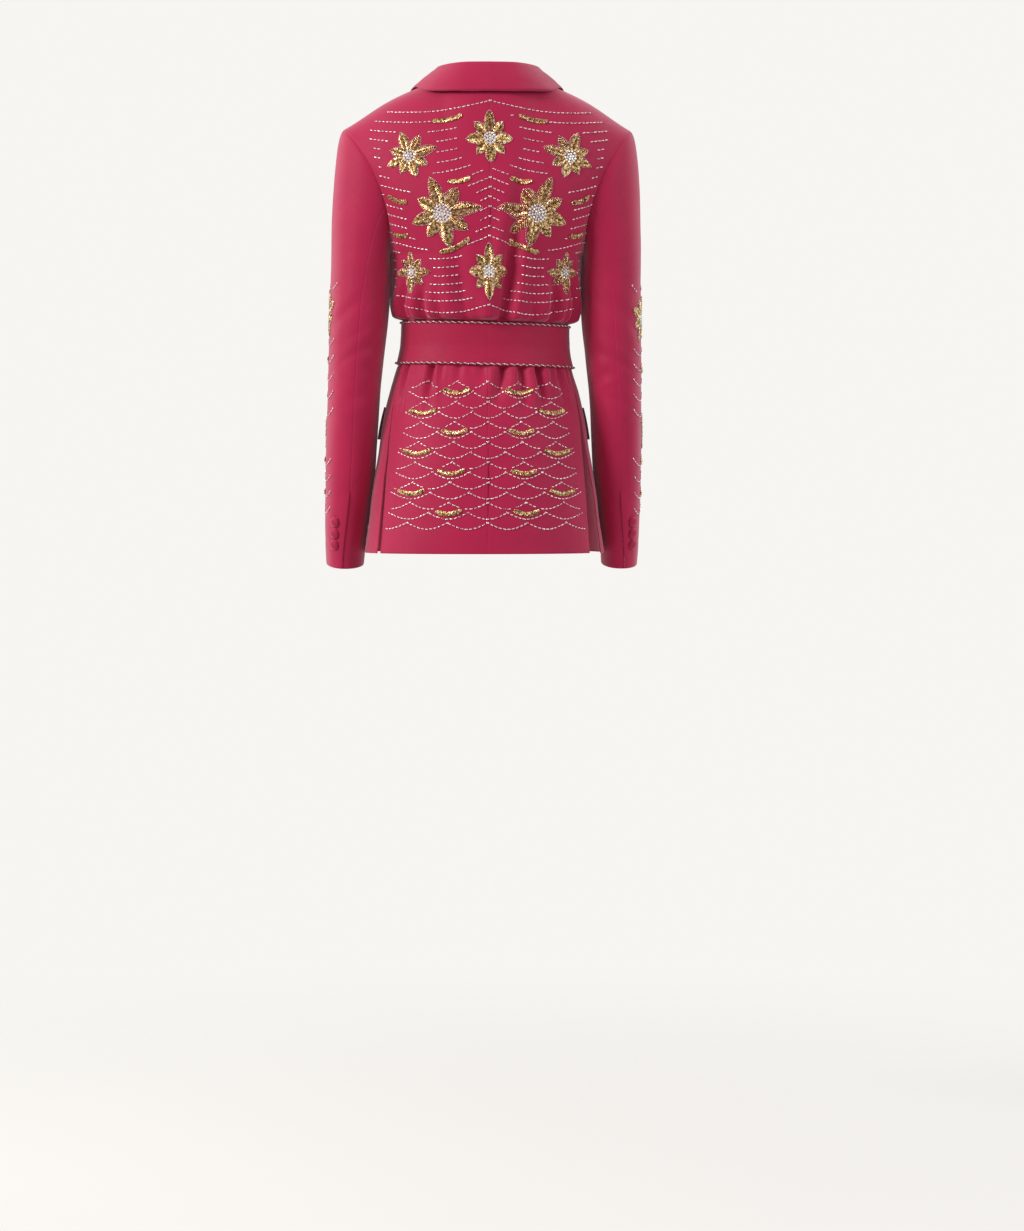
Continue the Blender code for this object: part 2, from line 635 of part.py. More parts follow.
def belt_edging(name, z, collection, material):
    """Beaded edging of the belt, a round cord along one edge of its outer face."""
    outer = BELT_CLEARANCE + BELT_THICKNESS + EDGING_SEAT + EDGING_RADIUS
    points = []
    for i in range(BELT_STEPS + 1):
        turn = -180.0 - EDGING_LAP + EDGING_TURN * i / BELT_STEPS
        points.append(settle(belt_point(turn, z, outer + lap_step(turn))))
    curve = bpy.data.curves.new(name, "CURVE")
    curve.dimensions = "3D"
    curve.bevel_depth = EDGING_RADIUS
    curve.bevel_resolution = 1
    curve.use_fill_caps = True
    spline = curve.splines.new("POLY")
    spline.points.add(len(points) - 1)
    for target, point in zip(spline.points, points):
        target.co = (*point, 1.0)
    curve.materials.append(material)
    obj = bpy.data.objects.new(name, curve)
    collection.objects.link(obj)
    return obj


def cuff_button(side, number, z, collection, material):
    """A cloth-covered button, domed, standing on the outer side of the sleeve."""
    here = settle(sleeve_point(side, BUTTON_TURN, z))
    beside = settle(sleeve_point(side, BUTTON_TURN + 4.0, z))
    below = settle(sleeve_point(side, BUTTON_TURN, z - 0.006))
    out = (beside - here).cross(below - here).normalized()
    if out.x * SIDES[side] < 0:
        out = -out
    bm = bmesh.new()
    bmesh.ops.create_uvsphere(bm, u_segments=12, v_segments=6, radius=BUTTON_RADIUS)
    for vert in bm.verts:
        if vert.co.z > -GAP:
            vert.co.z = BUTTON_RIM + vert.co.z / BUTTON_RADIUS * (BUTTON_HEIGHT - BUTTON_RIM)
        else:
            vert.co.z = 0.0
    name = f"cuff_button_{side}_{number}"
    mesh = bpy.data.meshes.new(name)
    bm.to_mesh(mesh)
    bm.free()
    obj = place(mesh, name, collection, material)
    obj.rotation_mode = "QUATERNION"
    obj.rotation_quaternion = out.to_track_quat("Z", "Y")
    obj.location = here + out * (2 * GAP)
    return obj


def main():
    """Build every piece of the jacket."""
    for obj in list(bpy.data.objects):
        bpy.data.objects.remove(obj)
    jacket = bpy.data.collections.new("embroidered_jacket")
    bpy.context.scene.collection.children.link(jacket)
    crepe = finish("crepe", (0.45, 0.018, 0.068), 0.62)
    belt_crepe = finish("belt_crepe", (0.44, 0.018, 0.070), 0.55)
    beads = finish("silver_beads", (0.78, 0.70, 0.72), 0.25, 0.6)
    for side in SIDES:
        back_panel(side, jacket, crepe)
        front_panel(side, jacket, crepe)
        sleeve_piece(side, "top", jacket, crepe)
        sleeve_piece(side, "under", jacket, crepe)
        lapel(side, jacket, crepe)
        pocket_flap(side, jacket, crepe)
        for number, z in enumerate(BUTTON_HEIGHTS, start=1):
            cuff_button(side, number, z, jacket, crepe)
    collar(jacket, crepe)
    belt(jacket, belt_crepe)
    belt_edging("belt_edging_upper", BELT_TOP_Z - EDGING_RADIUS, jacket, beads)
    belt_edging("belt_edging_lower", BELT_BOTTOM_Z + EDGING_RADIUS, jacket, beads)


main()
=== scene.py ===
"""Embroidered jacket in raspberry crepe, belted, in the hollow form it has when it is worn.

Metres, +Z up.  The front faces -Y, the wearer's left is +X, and the origin lies in the middle
of the neck.  The cloth panels are thin shells on sections of the body and of the arm.  The
beadwork follows the same surfaces.
"""
from __future__ import annotations

import bisect
import functools
import logging
import math
import random
from dataclasses import dataclass, field
from enum import Enum
from typing import Callable, Iterable, Iterator, Sequence, TypeVar

import bmesh
import bpy
from mathutils import Euler, Matrix, Vector, noise


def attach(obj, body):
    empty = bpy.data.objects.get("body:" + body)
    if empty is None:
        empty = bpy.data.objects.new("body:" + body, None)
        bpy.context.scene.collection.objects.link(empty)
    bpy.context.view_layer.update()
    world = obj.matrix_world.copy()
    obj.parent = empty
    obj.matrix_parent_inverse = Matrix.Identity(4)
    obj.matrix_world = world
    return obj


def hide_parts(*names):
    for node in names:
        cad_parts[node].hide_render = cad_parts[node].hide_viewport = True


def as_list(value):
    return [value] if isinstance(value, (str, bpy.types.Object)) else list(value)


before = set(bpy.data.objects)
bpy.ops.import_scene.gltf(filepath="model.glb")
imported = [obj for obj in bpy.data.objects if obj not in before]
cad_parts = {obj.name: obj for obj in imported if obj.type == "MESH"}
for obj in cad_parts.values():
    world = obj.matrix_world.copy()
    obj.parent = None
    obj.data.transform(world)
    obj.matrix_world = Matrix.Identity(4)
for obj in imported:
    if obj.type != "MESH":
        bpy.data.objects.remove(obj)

Piece = bpy.types.Object
Material = bpy.types.Material

LOG = logging.getLogger("jacket")

# Sideways lean for each metre of height; tilt of the waist and how far from the belt it reaches
LEAN = 0.0106
WAIST_TILT = 0.032
WAIST_TILT_REACH = 0.110

# Heights that several pieces share
UNDERARM_Z = -0.262
NECK_BACK_Z = -0.002
HEM_Z = -0.705
CUFF_Z = -0.722
BELT_BOTTOM_Z = -0.4275
BELT_TOP_Z = -0.363

# Thickness of the shells of the panels, and of the collar, lapels and flaps
PANEL_WALL = 0.0012
TRIM_WALL = 0.0014


# Sections of the torso: height, half width, depth behind and in front, roundness
TORSO_SECTIONS = (
    (-0.705, 0.1770, 0.1430, -0.1300, 2.25),
    (-0.660, 0.1710, 0.1405, -0.1280, 2.25),
    (-0.610, 0.1650, 0.1370, -0.1255, 2.25),
    (-0.560, 0.1580, 0.1310, -0.1215, 2.25),
    (-0.505, 0.1500, 0.1205, -0.1140, 2.25),
    (-0.465, 0.1410, 0.1080, -0.1050, 2.25),
    (-0.4275, 0.1297, 0.0945, -0.0945, 2.20),
    (-0.395, 0.1235, 0.0885, -0.0905, 2.20),
    (-0.363, 0.1225, 0.0890, -0.0910, 2.20),
    (-0.357, 0.1260, 0.0925, -0.0940, 2.20),
    (-0.348, 0.1385, 0.1020, -0.1030, 2.20),
    (-0.335, 0.1430, 0.1045, -0.1065, 2.25),
    (-0.306, 0.1422, 0.1060, -0.1120, 2.30),
    (-0.262, 0.1450, 0.1110, -0.1180, 2.30),
    (-0.180, 0.1600, 0.1130, -0.1180, 2.30),
    (-0.100, 0.1900, 0.0980, -0.0960, 2.20),
    (-0.050, 0.2050, 0.0800, -0.0700, 2.10),
    (-0.002, 0.2210, 0.0560, -0.0400, 2.00),
)

# Height, degrees from the middle of the back to the back's vent edge and to the left and
# right front's, and how far each front's edge swings outward
VENT_EDGES = (
    (-0.705, 60.0, 60.8, 71.0, 0.004, 0.006),
    (-0.610, 63.0, 63.7, 70.0, 0.003, 0.005),
    (-0.540, 65.5, 66.0, 69.0, 0.001, 0.002),
    (-0.470, 69.0, 69.4, 69.6, 0.000, 0.000),
    (-0.4275, 74.0, 74.0, 74.0, 0.000, 0.000),
    (-0.363, 82.0, 82.0, 82.0, 0.000, 0.000),
    (-0.262, 90.0, 90.0, 90.0, 0.000, 0.000),
)

# Height, distance of the front's edge from the middle
FRONT_EDGE = (
    (-0.705, -0.022), (-0.640, -0.029), (-0.345, -0.030), (-0.320, -0.014), (-0.300, 0.004),
    (-0.262, 0.016), (-0.200, 0.031), (-0.140, 0.045), (-0.080, 0.060), (-0.040, 0.071),
    (-0.002, 0.080),
)

# Share of the back's neck edge, and its point
BACK_NECK = (
    (0.00, 0.000, 0.0560, -0.0020),
    (0.35, 0.031, 0.0520, -0.0015),
    (0.70, 0.062, 0.0330, -0.0008),
    (1.00, 0.080, 0.0040, -0.0005),
)

# Folds: signed degrees from the middle of the back at the top and bottom end, both heights,
# half width in degrees, depth
MAIN_FOLDS = (
    (-17.0, -8.0, -0.090, -0.358, 3.4, -0.0066),
    (20.0, 12.0, -0.190, -0.358, 4.2, -0.0030),
    (55.0, 63.0, -0.268, -0.358, 4.0, -0.0052),
    (39.0, 43.0, -0.290, -0.358, 3.2, -0.0040),
    (-56.0, -65.0, -0.260, -0.358, 4.0, -0.0052),
    (-38.0, -43.0, -0.270, -0.358, 3.4, -0.0042),
    (62.0, 59.0, -0.430, -0.520, 3.2, -0.0042),
    (37.0, 34.0, -0.430, -0.505, 2.8, -0.0052),
    (-8.5, -2.0, -0.430, -0.500, 2.6, -0.0056),
    (-20.0, -18.0, -0.430, -0.520, 2.8, -0.0040),
    (-33.0, -31.0, -0.430, -0.500, 2.6, -0.0056),
    (-54.0, -50.0, -0.430, -0.500, 3.6, -0.0034),
    (118.0, 123.0, -0.266, -0.358, 4.4, -0.0046),
    (-117.0, -122.0, -0.258, -0.358, 4.6, -0.0050),
    (139.0, 146.0, -0.282, -0.358, 3.8, -0.0040),
    (-140.0, -147.0, -0.288, -0.358, 3.6, -0.0036),
    (112.0, 109.0, -0.430, -0.525, 3.8, -0.0044),
    (-114.0, -111.0, -0.430, -0.512, 3.6, -0.0046),
    (137.0, 134.0, -0.430, -0.502, 3.4, -0.0042),
    (-134.0, -130.0, -0.430, -0.520, 3.4, -0.0040),
)
SMALL_FOLDS = (
    (-11.0, -5.0, -0.170, -0.358, 2.2, -0.0016),
    (-6.0, -1.5, -0.250, -0.358, 2.0, -0.0014),
    (9.0, 5.0, -0.300, -0.358, 2.0, -0.0012),
    (28.0, 30.0, -0.325, -0.358, 2.2, -0.0013),
    (52.0, 53.0, -0.318, -0.358, 2.0, -0.0014),
    (71.0, 74.0, -0.322, -0.358, 2.2, -0.0015),
    (-24.0, -27.0, -0.318, -0.358, 2.2, -0.0013),
    (-35.0, -36.0, -0.330, -0.358, 2.0, -0.0012),
    (-52.0, -54.0, -0.312, -0.358, 2.2, -0.0016),
    (-73.0, -76.0, -0.320, -0.358, 2.0, -0.0014),
    (3.0, 2.0, -0.432, -0.452, 1.8, -0.0013),
    (17.0, 16.0, -0.432, -0.462, 2.0, -0.0015),
    (29.0, 28.5, -0.432, -0.470, 1.8, -0.0016),
    (43.0, 41.0, -0.432, -0.476, 2.2, -0.0016),
    (54.0, 53.0, -0.432, -0.456, 1.8, -0.0013),
    (-13.5, -9.0, -0.432, -0.478, 1.8, -0.0017),
    (-28.0, -27.0, -0.432, -0.458, 1.8, -0.0014),
    (-33.0, -32.0, -0.432, -0.482, 1.8, -0.0017),
    (-45.0, -43.0, -0.432, -0.460, 2.0, -0.0014),
    (-62.0, -60.0, -0.432, -0.474, 2.2, -0.0015),
    (104.0, 103.0, -0.432, -0.468, 2.2, -0.0015),
    (127.0, 126.0, -0.432, -0.456, 2.0, -0.0013),
    (-124.0, -123.0, -0.432, -0.462, 2.2, -0.0014),
    (-150.0, -147.0, -0.432, -0.478, 2.4, -0.0018),
    (153.0, 150.0, -0.432, -0.470, 2.4, -0.0016),
    (88.0, 90.0, -0.322, -0.358, 2.4, -0.0016),
    (-88.0, -91.0, -0.316, -0.358, 2.4, -0.0018),
    (131.0, 135.0, -0.318, -0.358, 2.2, -0.0014),
    (-130.0, -134.0, -0.322, -0.358, 2.2, -0.0014),
)

# Sleeve: height, outer and inner side, half depth, middle in depth, tilt of the ring
SLEEVE_SECTIONS = (
    (-0.7205, 0.2345, 0.1805, 0.0470, -0.0340, -0.16),
    (-0.690, 0.2360, 0.1778, 0.0485, -0.0285, -0.15),
    (-0.640, 0.2366, 0.1715, 0.0510, -0.0190, -0.14),
    (-0.580, 0.2370, 0.1645, 0.0545, -0.0095, -0.12),
    (-0.530, 0.2360, 0.1610, 0.0575, -0.0030, -0.09),
    (-0.475, 0.2348, 0.1572, 0.0605, 0.0020, -0.05),
    (-0.420, 0.2340, 0.1515, 0.0630, 0.0045, -0.01),
    (-0.354, 0.2330, 0.1442, 0.0655, 0.0035, 0.0),
    (-0.300, 0.2318, 0.1408, 0.0675, 0.0010, 0.0),
)
# Height, degrees round the arm of the elbow seam and of the front seam
SLEEVE_SEAMS = (
    (-0.722, 82.0, 244.0), (-0.604, 90.0, 242.0), (-0.354, 90.0, 240.0),
    (-0.262, 99.0, 238.0), (-0.168, 108.0, 236.0),
)
# Creases: degrees round the arm, height, slant, half length, half width, depth
SLEEVE_CREASES = (
    (112.0, -0.405, 0.00035, 34.0, 0.0090, -0.0030),
    (128.0, -0.440, -0.00030, 36.0, 0.0100, -0.0034),
    (96.0, -0.472, 0.00030, 30.0, 0.0100, -0.0026),
    (64.0, -0.352, 0.00070, 34.0, 0.0110, -0.0026),
    (268.0, -0.425, -0.00040, 40.0, 0.0110, -0.0036),
    (290.0, -0.455, 0.00030, 34.0, 0.0100, -0.0030),
    (76.0, -0.420, 0.00050, 22.0, 0.0050, -0.0012),
    (104.0, -0.455, -0.00020, 20.0, 0.0045, -0.0012),
    (88.0, -0.386, 0.00060, 24.0, 0.0055, -0.0011),
    (118.0, -0.330, 0.00080, 20.0, 0.0070, -0.0014),
    (60.0, -0.505, -0.00030, 26.0, 0.0070, -0.0011),
    (100.0, -0.600, 0.00060, 30.0, 0.0080, -0.0010),
    (280.0, -0.440, 0.00010, 22.0, 0.0050, -0.0014),
    (255.0, -0.395, -0.00030, 26.0, 0.0060, -0.0014),
)

# Collar: share of the way round, seam point, fold point, outer edge of the fall
COLLAR_ROWS = (
    (0.00, 0.000, 0.0541, -0.0016, 0.000, 0.0530, 0.0195, 0.000, 0.0838, -0.0225),
    (0.20, 0.0303, 0.0504, -0.0011, 0.030, 0.0495, 0.0195, 0.041, 0.0806, -0.0222),
    (0.42, 0.0605, 0.0316, -0.0003, 0.058, 0.0320, 0.0180, 0.088, 0.0545, -0.0202),
    (0.60, 0.0782, 0.0040, 0.0002, 0.0725, 0.0050, 0.0145, 0.110, 0.0060, -0.0105),
    (0.78, 0.0705, -0.0285, -0.0035, 0.0715, -0.0310, 0.0050, 0.118, -0.0335, -0.0235),
    (1.00, 0.0605, -0.0635, -0.0390, 0.0655, -0.0710, -0.0375, 0.1150, -0.0700, -0.0540),
)
# Lapel: height, roll line, outer edge, drop of the outer edge
LAPEL_ROWS = (
    (-0.297, 0.0050, 0.0110, 0.002),
    (-0.240, 0.0215, 0.0540, -0.006),
    (-0.180, 0.0360, 0.0860, -0.010),
    (-0.115, 0.0500, 0.1120, -0.006),
    (-0.047, 0.0625, 0.1210, 0.032),
)

# Rosettes of the back: distance from the middle, height, radius. Off the middle they are paired
BACK_ROSETTES = (
    (0.0, -0.094, 0.042), (0.118, -0.120, 0.038), (0.070, -0.205, 0.051),
    (0.0, -0.290, 0.040), (0.113, -0.290, 0.030),
)
# Gold bars of the back: both ends, each by its distance from the middle and its height
BACK_BARS = (
    ((0.040, -0.060), (0.082, -0.068)),
    ((0.030, -0.153), (0.062, -0.158)),
    ((0.122, -0.188), (0.148, -0.178)),
    ((0.030, -0.243), (0.072, -0.262)),
    ((0.120, -0.236), (0.140, -0.232)),
)
# Swags of the back: height of the outer end, its distance from the middle
BACK_SWAG_REACH = (
    (-0.338, 0.128), (-0.318, 0.134), (-0.262, 0.140), (-0.218, 0.151), (-0.170, 0.160),
    (-0.122, 0.168), (-0.098, 0.173), (-0.076, 0.175), (-0.052, 0.150),
)
# Rosettes of a sleeve: degrees round the arm, height, radius
SLEEVE_ROSETTES = ((4.0, -0.352, 0.036), (-22.0, -0.520, 0.030))
# Swags of a sleeve: heights, and the degrees round the arm between which each hangs
SLEEVE_SWAG_ROWS = (-0.306, -0.392, -0.416, -0.440, -0.464, -0.488, -0.560, -0.584, -0.608, -0.632)
SLEEVE_SWAG_SPANS = ((-64.0, -12.0), (-12.0, 40.0))
SLEEVE_BAR_ROWS = (-0.428, -0.572, -0.620)
# Swags of a front: heights above the belt and below it, and how far from the middle each hangs
CHEST_SWAG_ROWS = (-0.100, -0.128, -0.156, -0.184, -0.212, -0.240, -0.268, -0.296)
HIP_SWAG_ROWS = (-0.575, -0.604, -0.633, -0.662)
HIP_SWAG_SPANS = ((0.040, 0.088), (0.088, 0.136))
# Cups of the skirt's rows that hold a bar: row in each four, cup from the middle
SKIRT_BAR_CUPS = ((1, 1), (3, 2))


class Side(Enum):
    """The wearer's left or right, by the sign of X."""

    LEFT = 1
    RIGHT = -1

    @property
    def label(self) -> str:
        """Lower-case name, as the pieces carry it."""
        return self.name.lower()


class Face(Enum):
    """Back or front of the body."""

    BACK = "back"
    FRONT = "front"


class Hold(Enum):
    """How a piece of cloth is held."""

    HUNG = "hung"
    GATHERED = "gathered"
    FOLDED = "folded"
    STRETCHED = "stretched"


Value = TypeVar("Value", float, Vector)


def blend(start: Value, end: Value, leave: Value, arrive: Value, t: float) -> Value:
    """Cubic from start to end that leaves and arrives with the given slopes."""
    return (start * (2 * t**3 - 3 * t**2 + 1) + end * (3 * t**2 - 2 * t**3)
            + leave * (t**3 - 2 * t**2 + t) + arrive * (t**3 - t**2))


@dataclass(frozen=True)
class Profile:
    """Smooth curve, never overshooting, through values keyed by a rising number."""

    keys: tuple[float, ...]
    values: tuple[float, ...]

    @functools.cached_property
    def slopes(self) -> tuple[float, ...]:
        """Slope of the curve at each key."""
        pairs = list(zip(self.keys, self.values))
        rises = [(v1 - v0) / (k1 - k0) for (k0, v0), (k1, v1) in zip(pairs, pairs[1:])]
        inner = [0.0 if a * b <= 0 else 2 * a * b / (a + b) for a, b in zip(rises, rises[1:])]
        return (rises[0], *inner, rises[-1])

    def __call__(self, at: float) -> float:
        """Value at a key, held flat beyond both ends."""
        if at <= self.keys[0]:
            return self.values[0]
        if at >= self.keys[-1]:
            return self.values[-1]
        i = bisect.bisect_right(self.keys, at) - 1
        step = self.keys[i + 1] - self.keys[i]
        t = (at - self.keys[i]) / step
        leave, arrive = self.slopes[i] * step, self.slopes[i + 1] * step
        return blend(self.values[i], self.values[i + 1], leave, arrive, t)


def profiles(rows: Sequence[Sequence[float]]) -> tuple[Profile, ...]:
    """Make a smooth curve of each column of a table.

    Args:
        rows: rows whose first number is the key.

    Returns:
        One curve for each of the other columns.
    """
    ordered = sorted(rows)
    keys = tuple(row[0] for row in ordered)
    return tuple(Profile(keys, tuple(row[i] for row in ordered)) for i in range(1, len(ordered[0])))


def ease(t: float) -> float:
    """Smooth step from 0 to 1."""
    t = min(1.0, max(0.0, t))
    return t * t * (3 - 2 * t)


def squared_sine(degrees: float, roundness: float) -> float:
    """Sine of an angle, squared off for a section fuller than an ellipse."""
    value = math.sin(math.radians(degrees))
    return math.copysign(abs(value) ** (2 / roundness), value)


def squared_cosine(degrees: float, roundness: float) -> float:
    """Cosine of an angle, squared off in the same way."""
    value = math.cos(math.radians(degrees))
    return math.copysign(abs(value) ** (2 / roundness), value)


def settle(point: Vector) -> Vector:
    """Lean of the worn jacket to its left towards the hem, its waist higher on the left."""
    near_waist = ease(1 - abs(point.z - (BELT_BOTTOM_Z + BELT_TOP_Z) / 2) / WAIST_TILT_REACH)
    return Vector((point.x - LEAN * point.z, point.y, point.z + WAIST_TILT * point.x * near_waist))


def ripple(point: Vector, per_metre: float, seed: float) -> float:
    """Slow unevenness of cloth, from -1 to 1, at a point."""
    return noise.noise(point * per_metre + Vector((seed, seed * 0.7, -seed)))


@dataclass(frozen=True)
class CreaseShape:
    """Cross-section of a crease: a groove with a low ridge on each side."""

    ridge: float
    ridge_at: float
    reach: float

    def height(self, across: float) -> float:
        """Share of the crease's depth, at a distance counted in its half widths."""
        return math.exp(-across**2) - self.ridge * math.exp(-((abs(across) - self.ridge_at) ** 2))


FOLD_SHAPE = CreaseShape(ridge=0.45, ridge_at=2.0, reach=4.0)
SLEEVE_CREASE_SHAPE = CreaseShape(ridge=0.40, ridge_at=1.9, reach=5.0)


@dataclass(frozen=True)
class Torso:
    """Outer surface of the jacket's body, from hem to neck, with its folds.

    A place on it is a side, a face, an angle in degrees from the middle of that face towards
    the side, and a row.  A row is the height of its point at the middle of the face.
    """

    tip: Vector = field(default_factory=lambda: Vector((0.214, 0.0, -0.075)))
    neck_point: Vector = field(default_factory=lambda: Vector((0.080, 0.004, -0.0005)))
    hole_centre: Vector = field(default_factory=lambda: Vector((0.1795, 0.0, -0.1685)))
    hole_up: Vector = field(default_factory=lambda: Vector((0.0345, 0.0, 0.0935)))
    hole_depth: float = 0.066
    hole_bow: float = 0.020
    edge_drawn_in: float = 30.0
    edge_rate: float = 1.2
    neck_share: float = 0.36
    shoulder_start: float = 0.50
    shoulder_crown: float = 2.6
    shoulder_rounding: float = 0.0055
    chest_round: tuple[float, float] = (0.20, 0.11)
    chest_tilt: float = 0.25
    calm_edge_from: float = 0.8
    unevenness: float = 0.0016
    wave_scale: float = 11.0
    fine_wave_scale: float = 31.0
    fine_wave: float = 0.35
    belt_calm: float = 0.03
    fold_strength: float = 2.1
    fold_early: float = 0.15
    fold_rate: float = 1.2
    belt_seat: float = 0.002
    fold_start: float = 0.006
    fold_end: float = 0.007
    sag: float = 0.0068
    sag_row: float = -0.3500
    sag_reach: float = 0.0090
    level_below: float = 0.05
    search_below: float = 0.15
    search_steps: int = 18

    @functools.cached_property
    def sections(self) -> tuple[Profile, ...]:
        """Half width, depth behind, depth in front and roundness, by height."""
        return profiles(TORSO_SECTIONS)

    @functools.cached_property
    def neck_curve(self) -> tuple[Profile, ...]:
        """X, Y and Z of the back's neck edge."""
        return profiles(BACK_NECK)

    def armhole(self, turn: float) -> Vector:
        """Point of the left armhole; the turn is 0 at the shoulder tip and 90 behind."""
        angle = math.radians(turn)
        point = self.hole_centre + self.hole_up * math.cos(angle)
        point.x -= self.hole_bow * math.sin(angle) ** 2
        point.y += self.hole_depth * math.sin(angle)
        return point

    def rise(self, row: float) -> float:
        """Share of the way from the underarm to the neck."""
        return (row - UNDERARM_Z) / (NECK_BACK_Z - UNDERARM_Z)

    def edge_turn(self, row: float) -> float:
        """Angle of the armhole edge from the middle of its face."""
        share = min(1.0, max(0.0, self.rise(row)))
        return 90.0 - self.edge_drawn_in * ease(share * self.edge_rate)

    def shoulder(self, face: Face, share: float) -> Vector:
        """Top edge of a panel: the neck edge, then the shoulder seam to its tip."""
        if share >= self.neck_share:
            out = (share - self.neck_share) / (1 - self.neck_share)
            rounding = self.shoulder_rounding * math.sin(math.pi * out) ** 2
            return self.neck_point.lerp(self.tip, out) + Vector((0, 0, rounding))
        if face is Face.BACK:
            return Vector([curve(share / self.neck_share) for curve in self.neck_curve])
        return self.neck_point.copy()

    def fold_depth(self, turn: float, z: float) -> float:
        """Depth of all folds together at a signed angle from the middle of the back."""
        total = 0.0
        for top, bottom, z_top, z_bottom, spread, depth in MAIN_FOLDS + SMALL_FOLDS:
            along = (z_top - z) / (z_top - z_bottom)
            if not -self.fold_early < along < 1.0:
                continue
            across = (turn - top - (bottom - top) * along) / spread
            if abs(across) > FOLD_SHAPE.reach:
                continue
            if z_top < BELT_BOTTOM_Z:
                fade = ease(1 - along)
                start = ease((BELT_BOTTOM_Z + self.belt_seat - z) / self.fold_start)
            else:
                fade = ease(along * self.fold_rate)
                start = ease((z - z_bottom) / self.fold_end)
            total += depth * FOLD_SHAPE.height(across) * fade * start
        return total * self.fold_strength

    def wave(self, point: Vector, from_back: float) -> float:
        """Uneven swell of the cloth, quiet under the belt."""
        from_belt = max(0.0, point.z - BELT_TOP_Z, BELT_BOTTOM_Z - point.z)
        seed = 3.0 + math.copysign(1.0, from_back)
        slow = ripple(point, self.wave_scale, seed)
        fine = ripple(point, self.fine_wave_scale, seed + 5)
        return self.unevenness * ease(from_belt / self.belt_calm) * (slow + self.fine_wave * fine)

    def low_place(self, from_back: float, row: float) -> tuple[Vector, Vector]:
        """Point of the left half up to the underarm, and its outward direction, unfolded."""
        half_width, back, front, fullness = self.sections
        width, roundness = half_width(row), fullness(row)
        beside = squared_cosine(from_back, roundness)
        far = back(row) if beside >= 0 else -front(row)
        hang = self.sag * math.exp(-(((row - self.sag_row) / self.sag_reach) ** 2))
        point = Vector((width * squared_sine(from_back, roundness), far * beside, row - hang))
        return point, Vector((point.x / width, point.y / abs(far), 0.0)).normalized()

    def high_place(self, face: Face, turn: float, row: float) -> tuple[Vector, Vector, float]:
        """Find a point of the left half between underarm and shoulder, unfolded.

        Args:
            face: back or front.
            turn: degrees from the middle of the face towards the side.
            row: height of the row at the middle.

        Returns:
            The point, its outward direction, and how much of the folds shows there.
        """
        _, back, front, fullness = self.sections
        roundness, share = fullness(row), self.rise(row)
        depth = back(row) if face is Face.BACK else front(row)
        hole = self.armhole((1 if face is Face.BACK else -1) * 180.0 * (1 - share))
        last = self.edge_turn(row)
        across = squared_sine(turn, roundness) / squared_sine(last, roundness)
        at_edge = squared_cosine(last, roundness)
        inward = squared_cosine(turn, roundness) - at_edge
        y = hole.y + (depth - hole.y) * inward / (1 - at_edge)
        point = Vector((hole.x * across, y, row + (hole.z - row) * abs(across) ** 2.0))
        top = self.shoulder(face, max(0.0, min(1.0, across)))
        top += (hole - self.tip) * abs(across) ** 4
        over = max(0.0, (share - self.shoulder_start) / (1 - self.shoulder_start))
        near = over * over * (2 - over)
        crown = 1 - (1 - near) ** self.shoulder_crown
        point = Vector((point.x + (top.x - point.x) * near, point.y + (top.y - point.y) * near,
                        point.z + (top.z - point.z) * crown))
        wide, deep = self.chest_round
        out = Vector((point.x / wide, point.y / deep, self.chest_tilt + share)).normalized()
        past = (abs(across) - self.calm_edge_from) / (1 - self.calm_edge_from)
        return point, out, ease((1 - share) * 2) * (1 - ease(past))

    def place(self, side: Side, face: Face, turn: float, row: float, lift: float = 0.0) -> Vector:
        """Find a point of the surface.

        Args:
            side: half of the body.
            face: back or front.
            turn: degrees from the middle of the face towards the side.
            row: height of the row at the middle.
            lift: distance outward from the surface.

        Returns:
            The point, before the jacket's lean.
        """
        from_back = turn if face is Face.BACK else 180.0 - turn
        signed = side.value * from_back
        if row <= UNDERARM_Z:
            point, out = self.low_place(from_back, row)
            free = 1.0
        else:
            point, out, free = self.high_place(face, turn, row)
        point += out * (self.fold_depth(signed, row) + self.wave(point, signed)) * free
        if lift:
            point += out * lift
        return Vector((side.value * point.x, point.y, point.z))

    def turn_at(self, x: float, row: float) -> float:
        """Angle from the middle of a face at which a row lies x from the middle."""
        half_width, _, _, fullness = self.sections
        width, last = half_width(row), 90.0
        if row > UNDERARM_Z:
            width, last = self.armhole(180.0 * (1 - self.rise(row))).x, self.edge_turn(row)
        share = min(1.0, abs(x) / width) ** (fullness(row) / 2) * math.sin(math.radians(last))
        return math.copysign(math.degrees(math.asin(min(1.0, share))), x)

    def find(self, side: Side, face: Face, x: float, z: float) -> tuple[float, float]:
        """Find the angle and the row of the point at a distance x and a true height z.

        Args:
            side: half of the body.
            face: back or front.
            x: distance from the middle towards the side.
            z: height of the point.

        Returns:
            The angle and the row.
        """
        if z < UNDERARM_Z - self.level_below:
            return self.turn_at(x, z), z
        row, low, high = z, z - self.search_below, NECK_BACK_Z
        for _ in range(self.search_steps):
            row = (low + high) / 2
            if self.place(side, face, self.turn_at(x, row), row).z < z:
                low = row
            else:
                high = row
        return self.turn_at(x, row), row


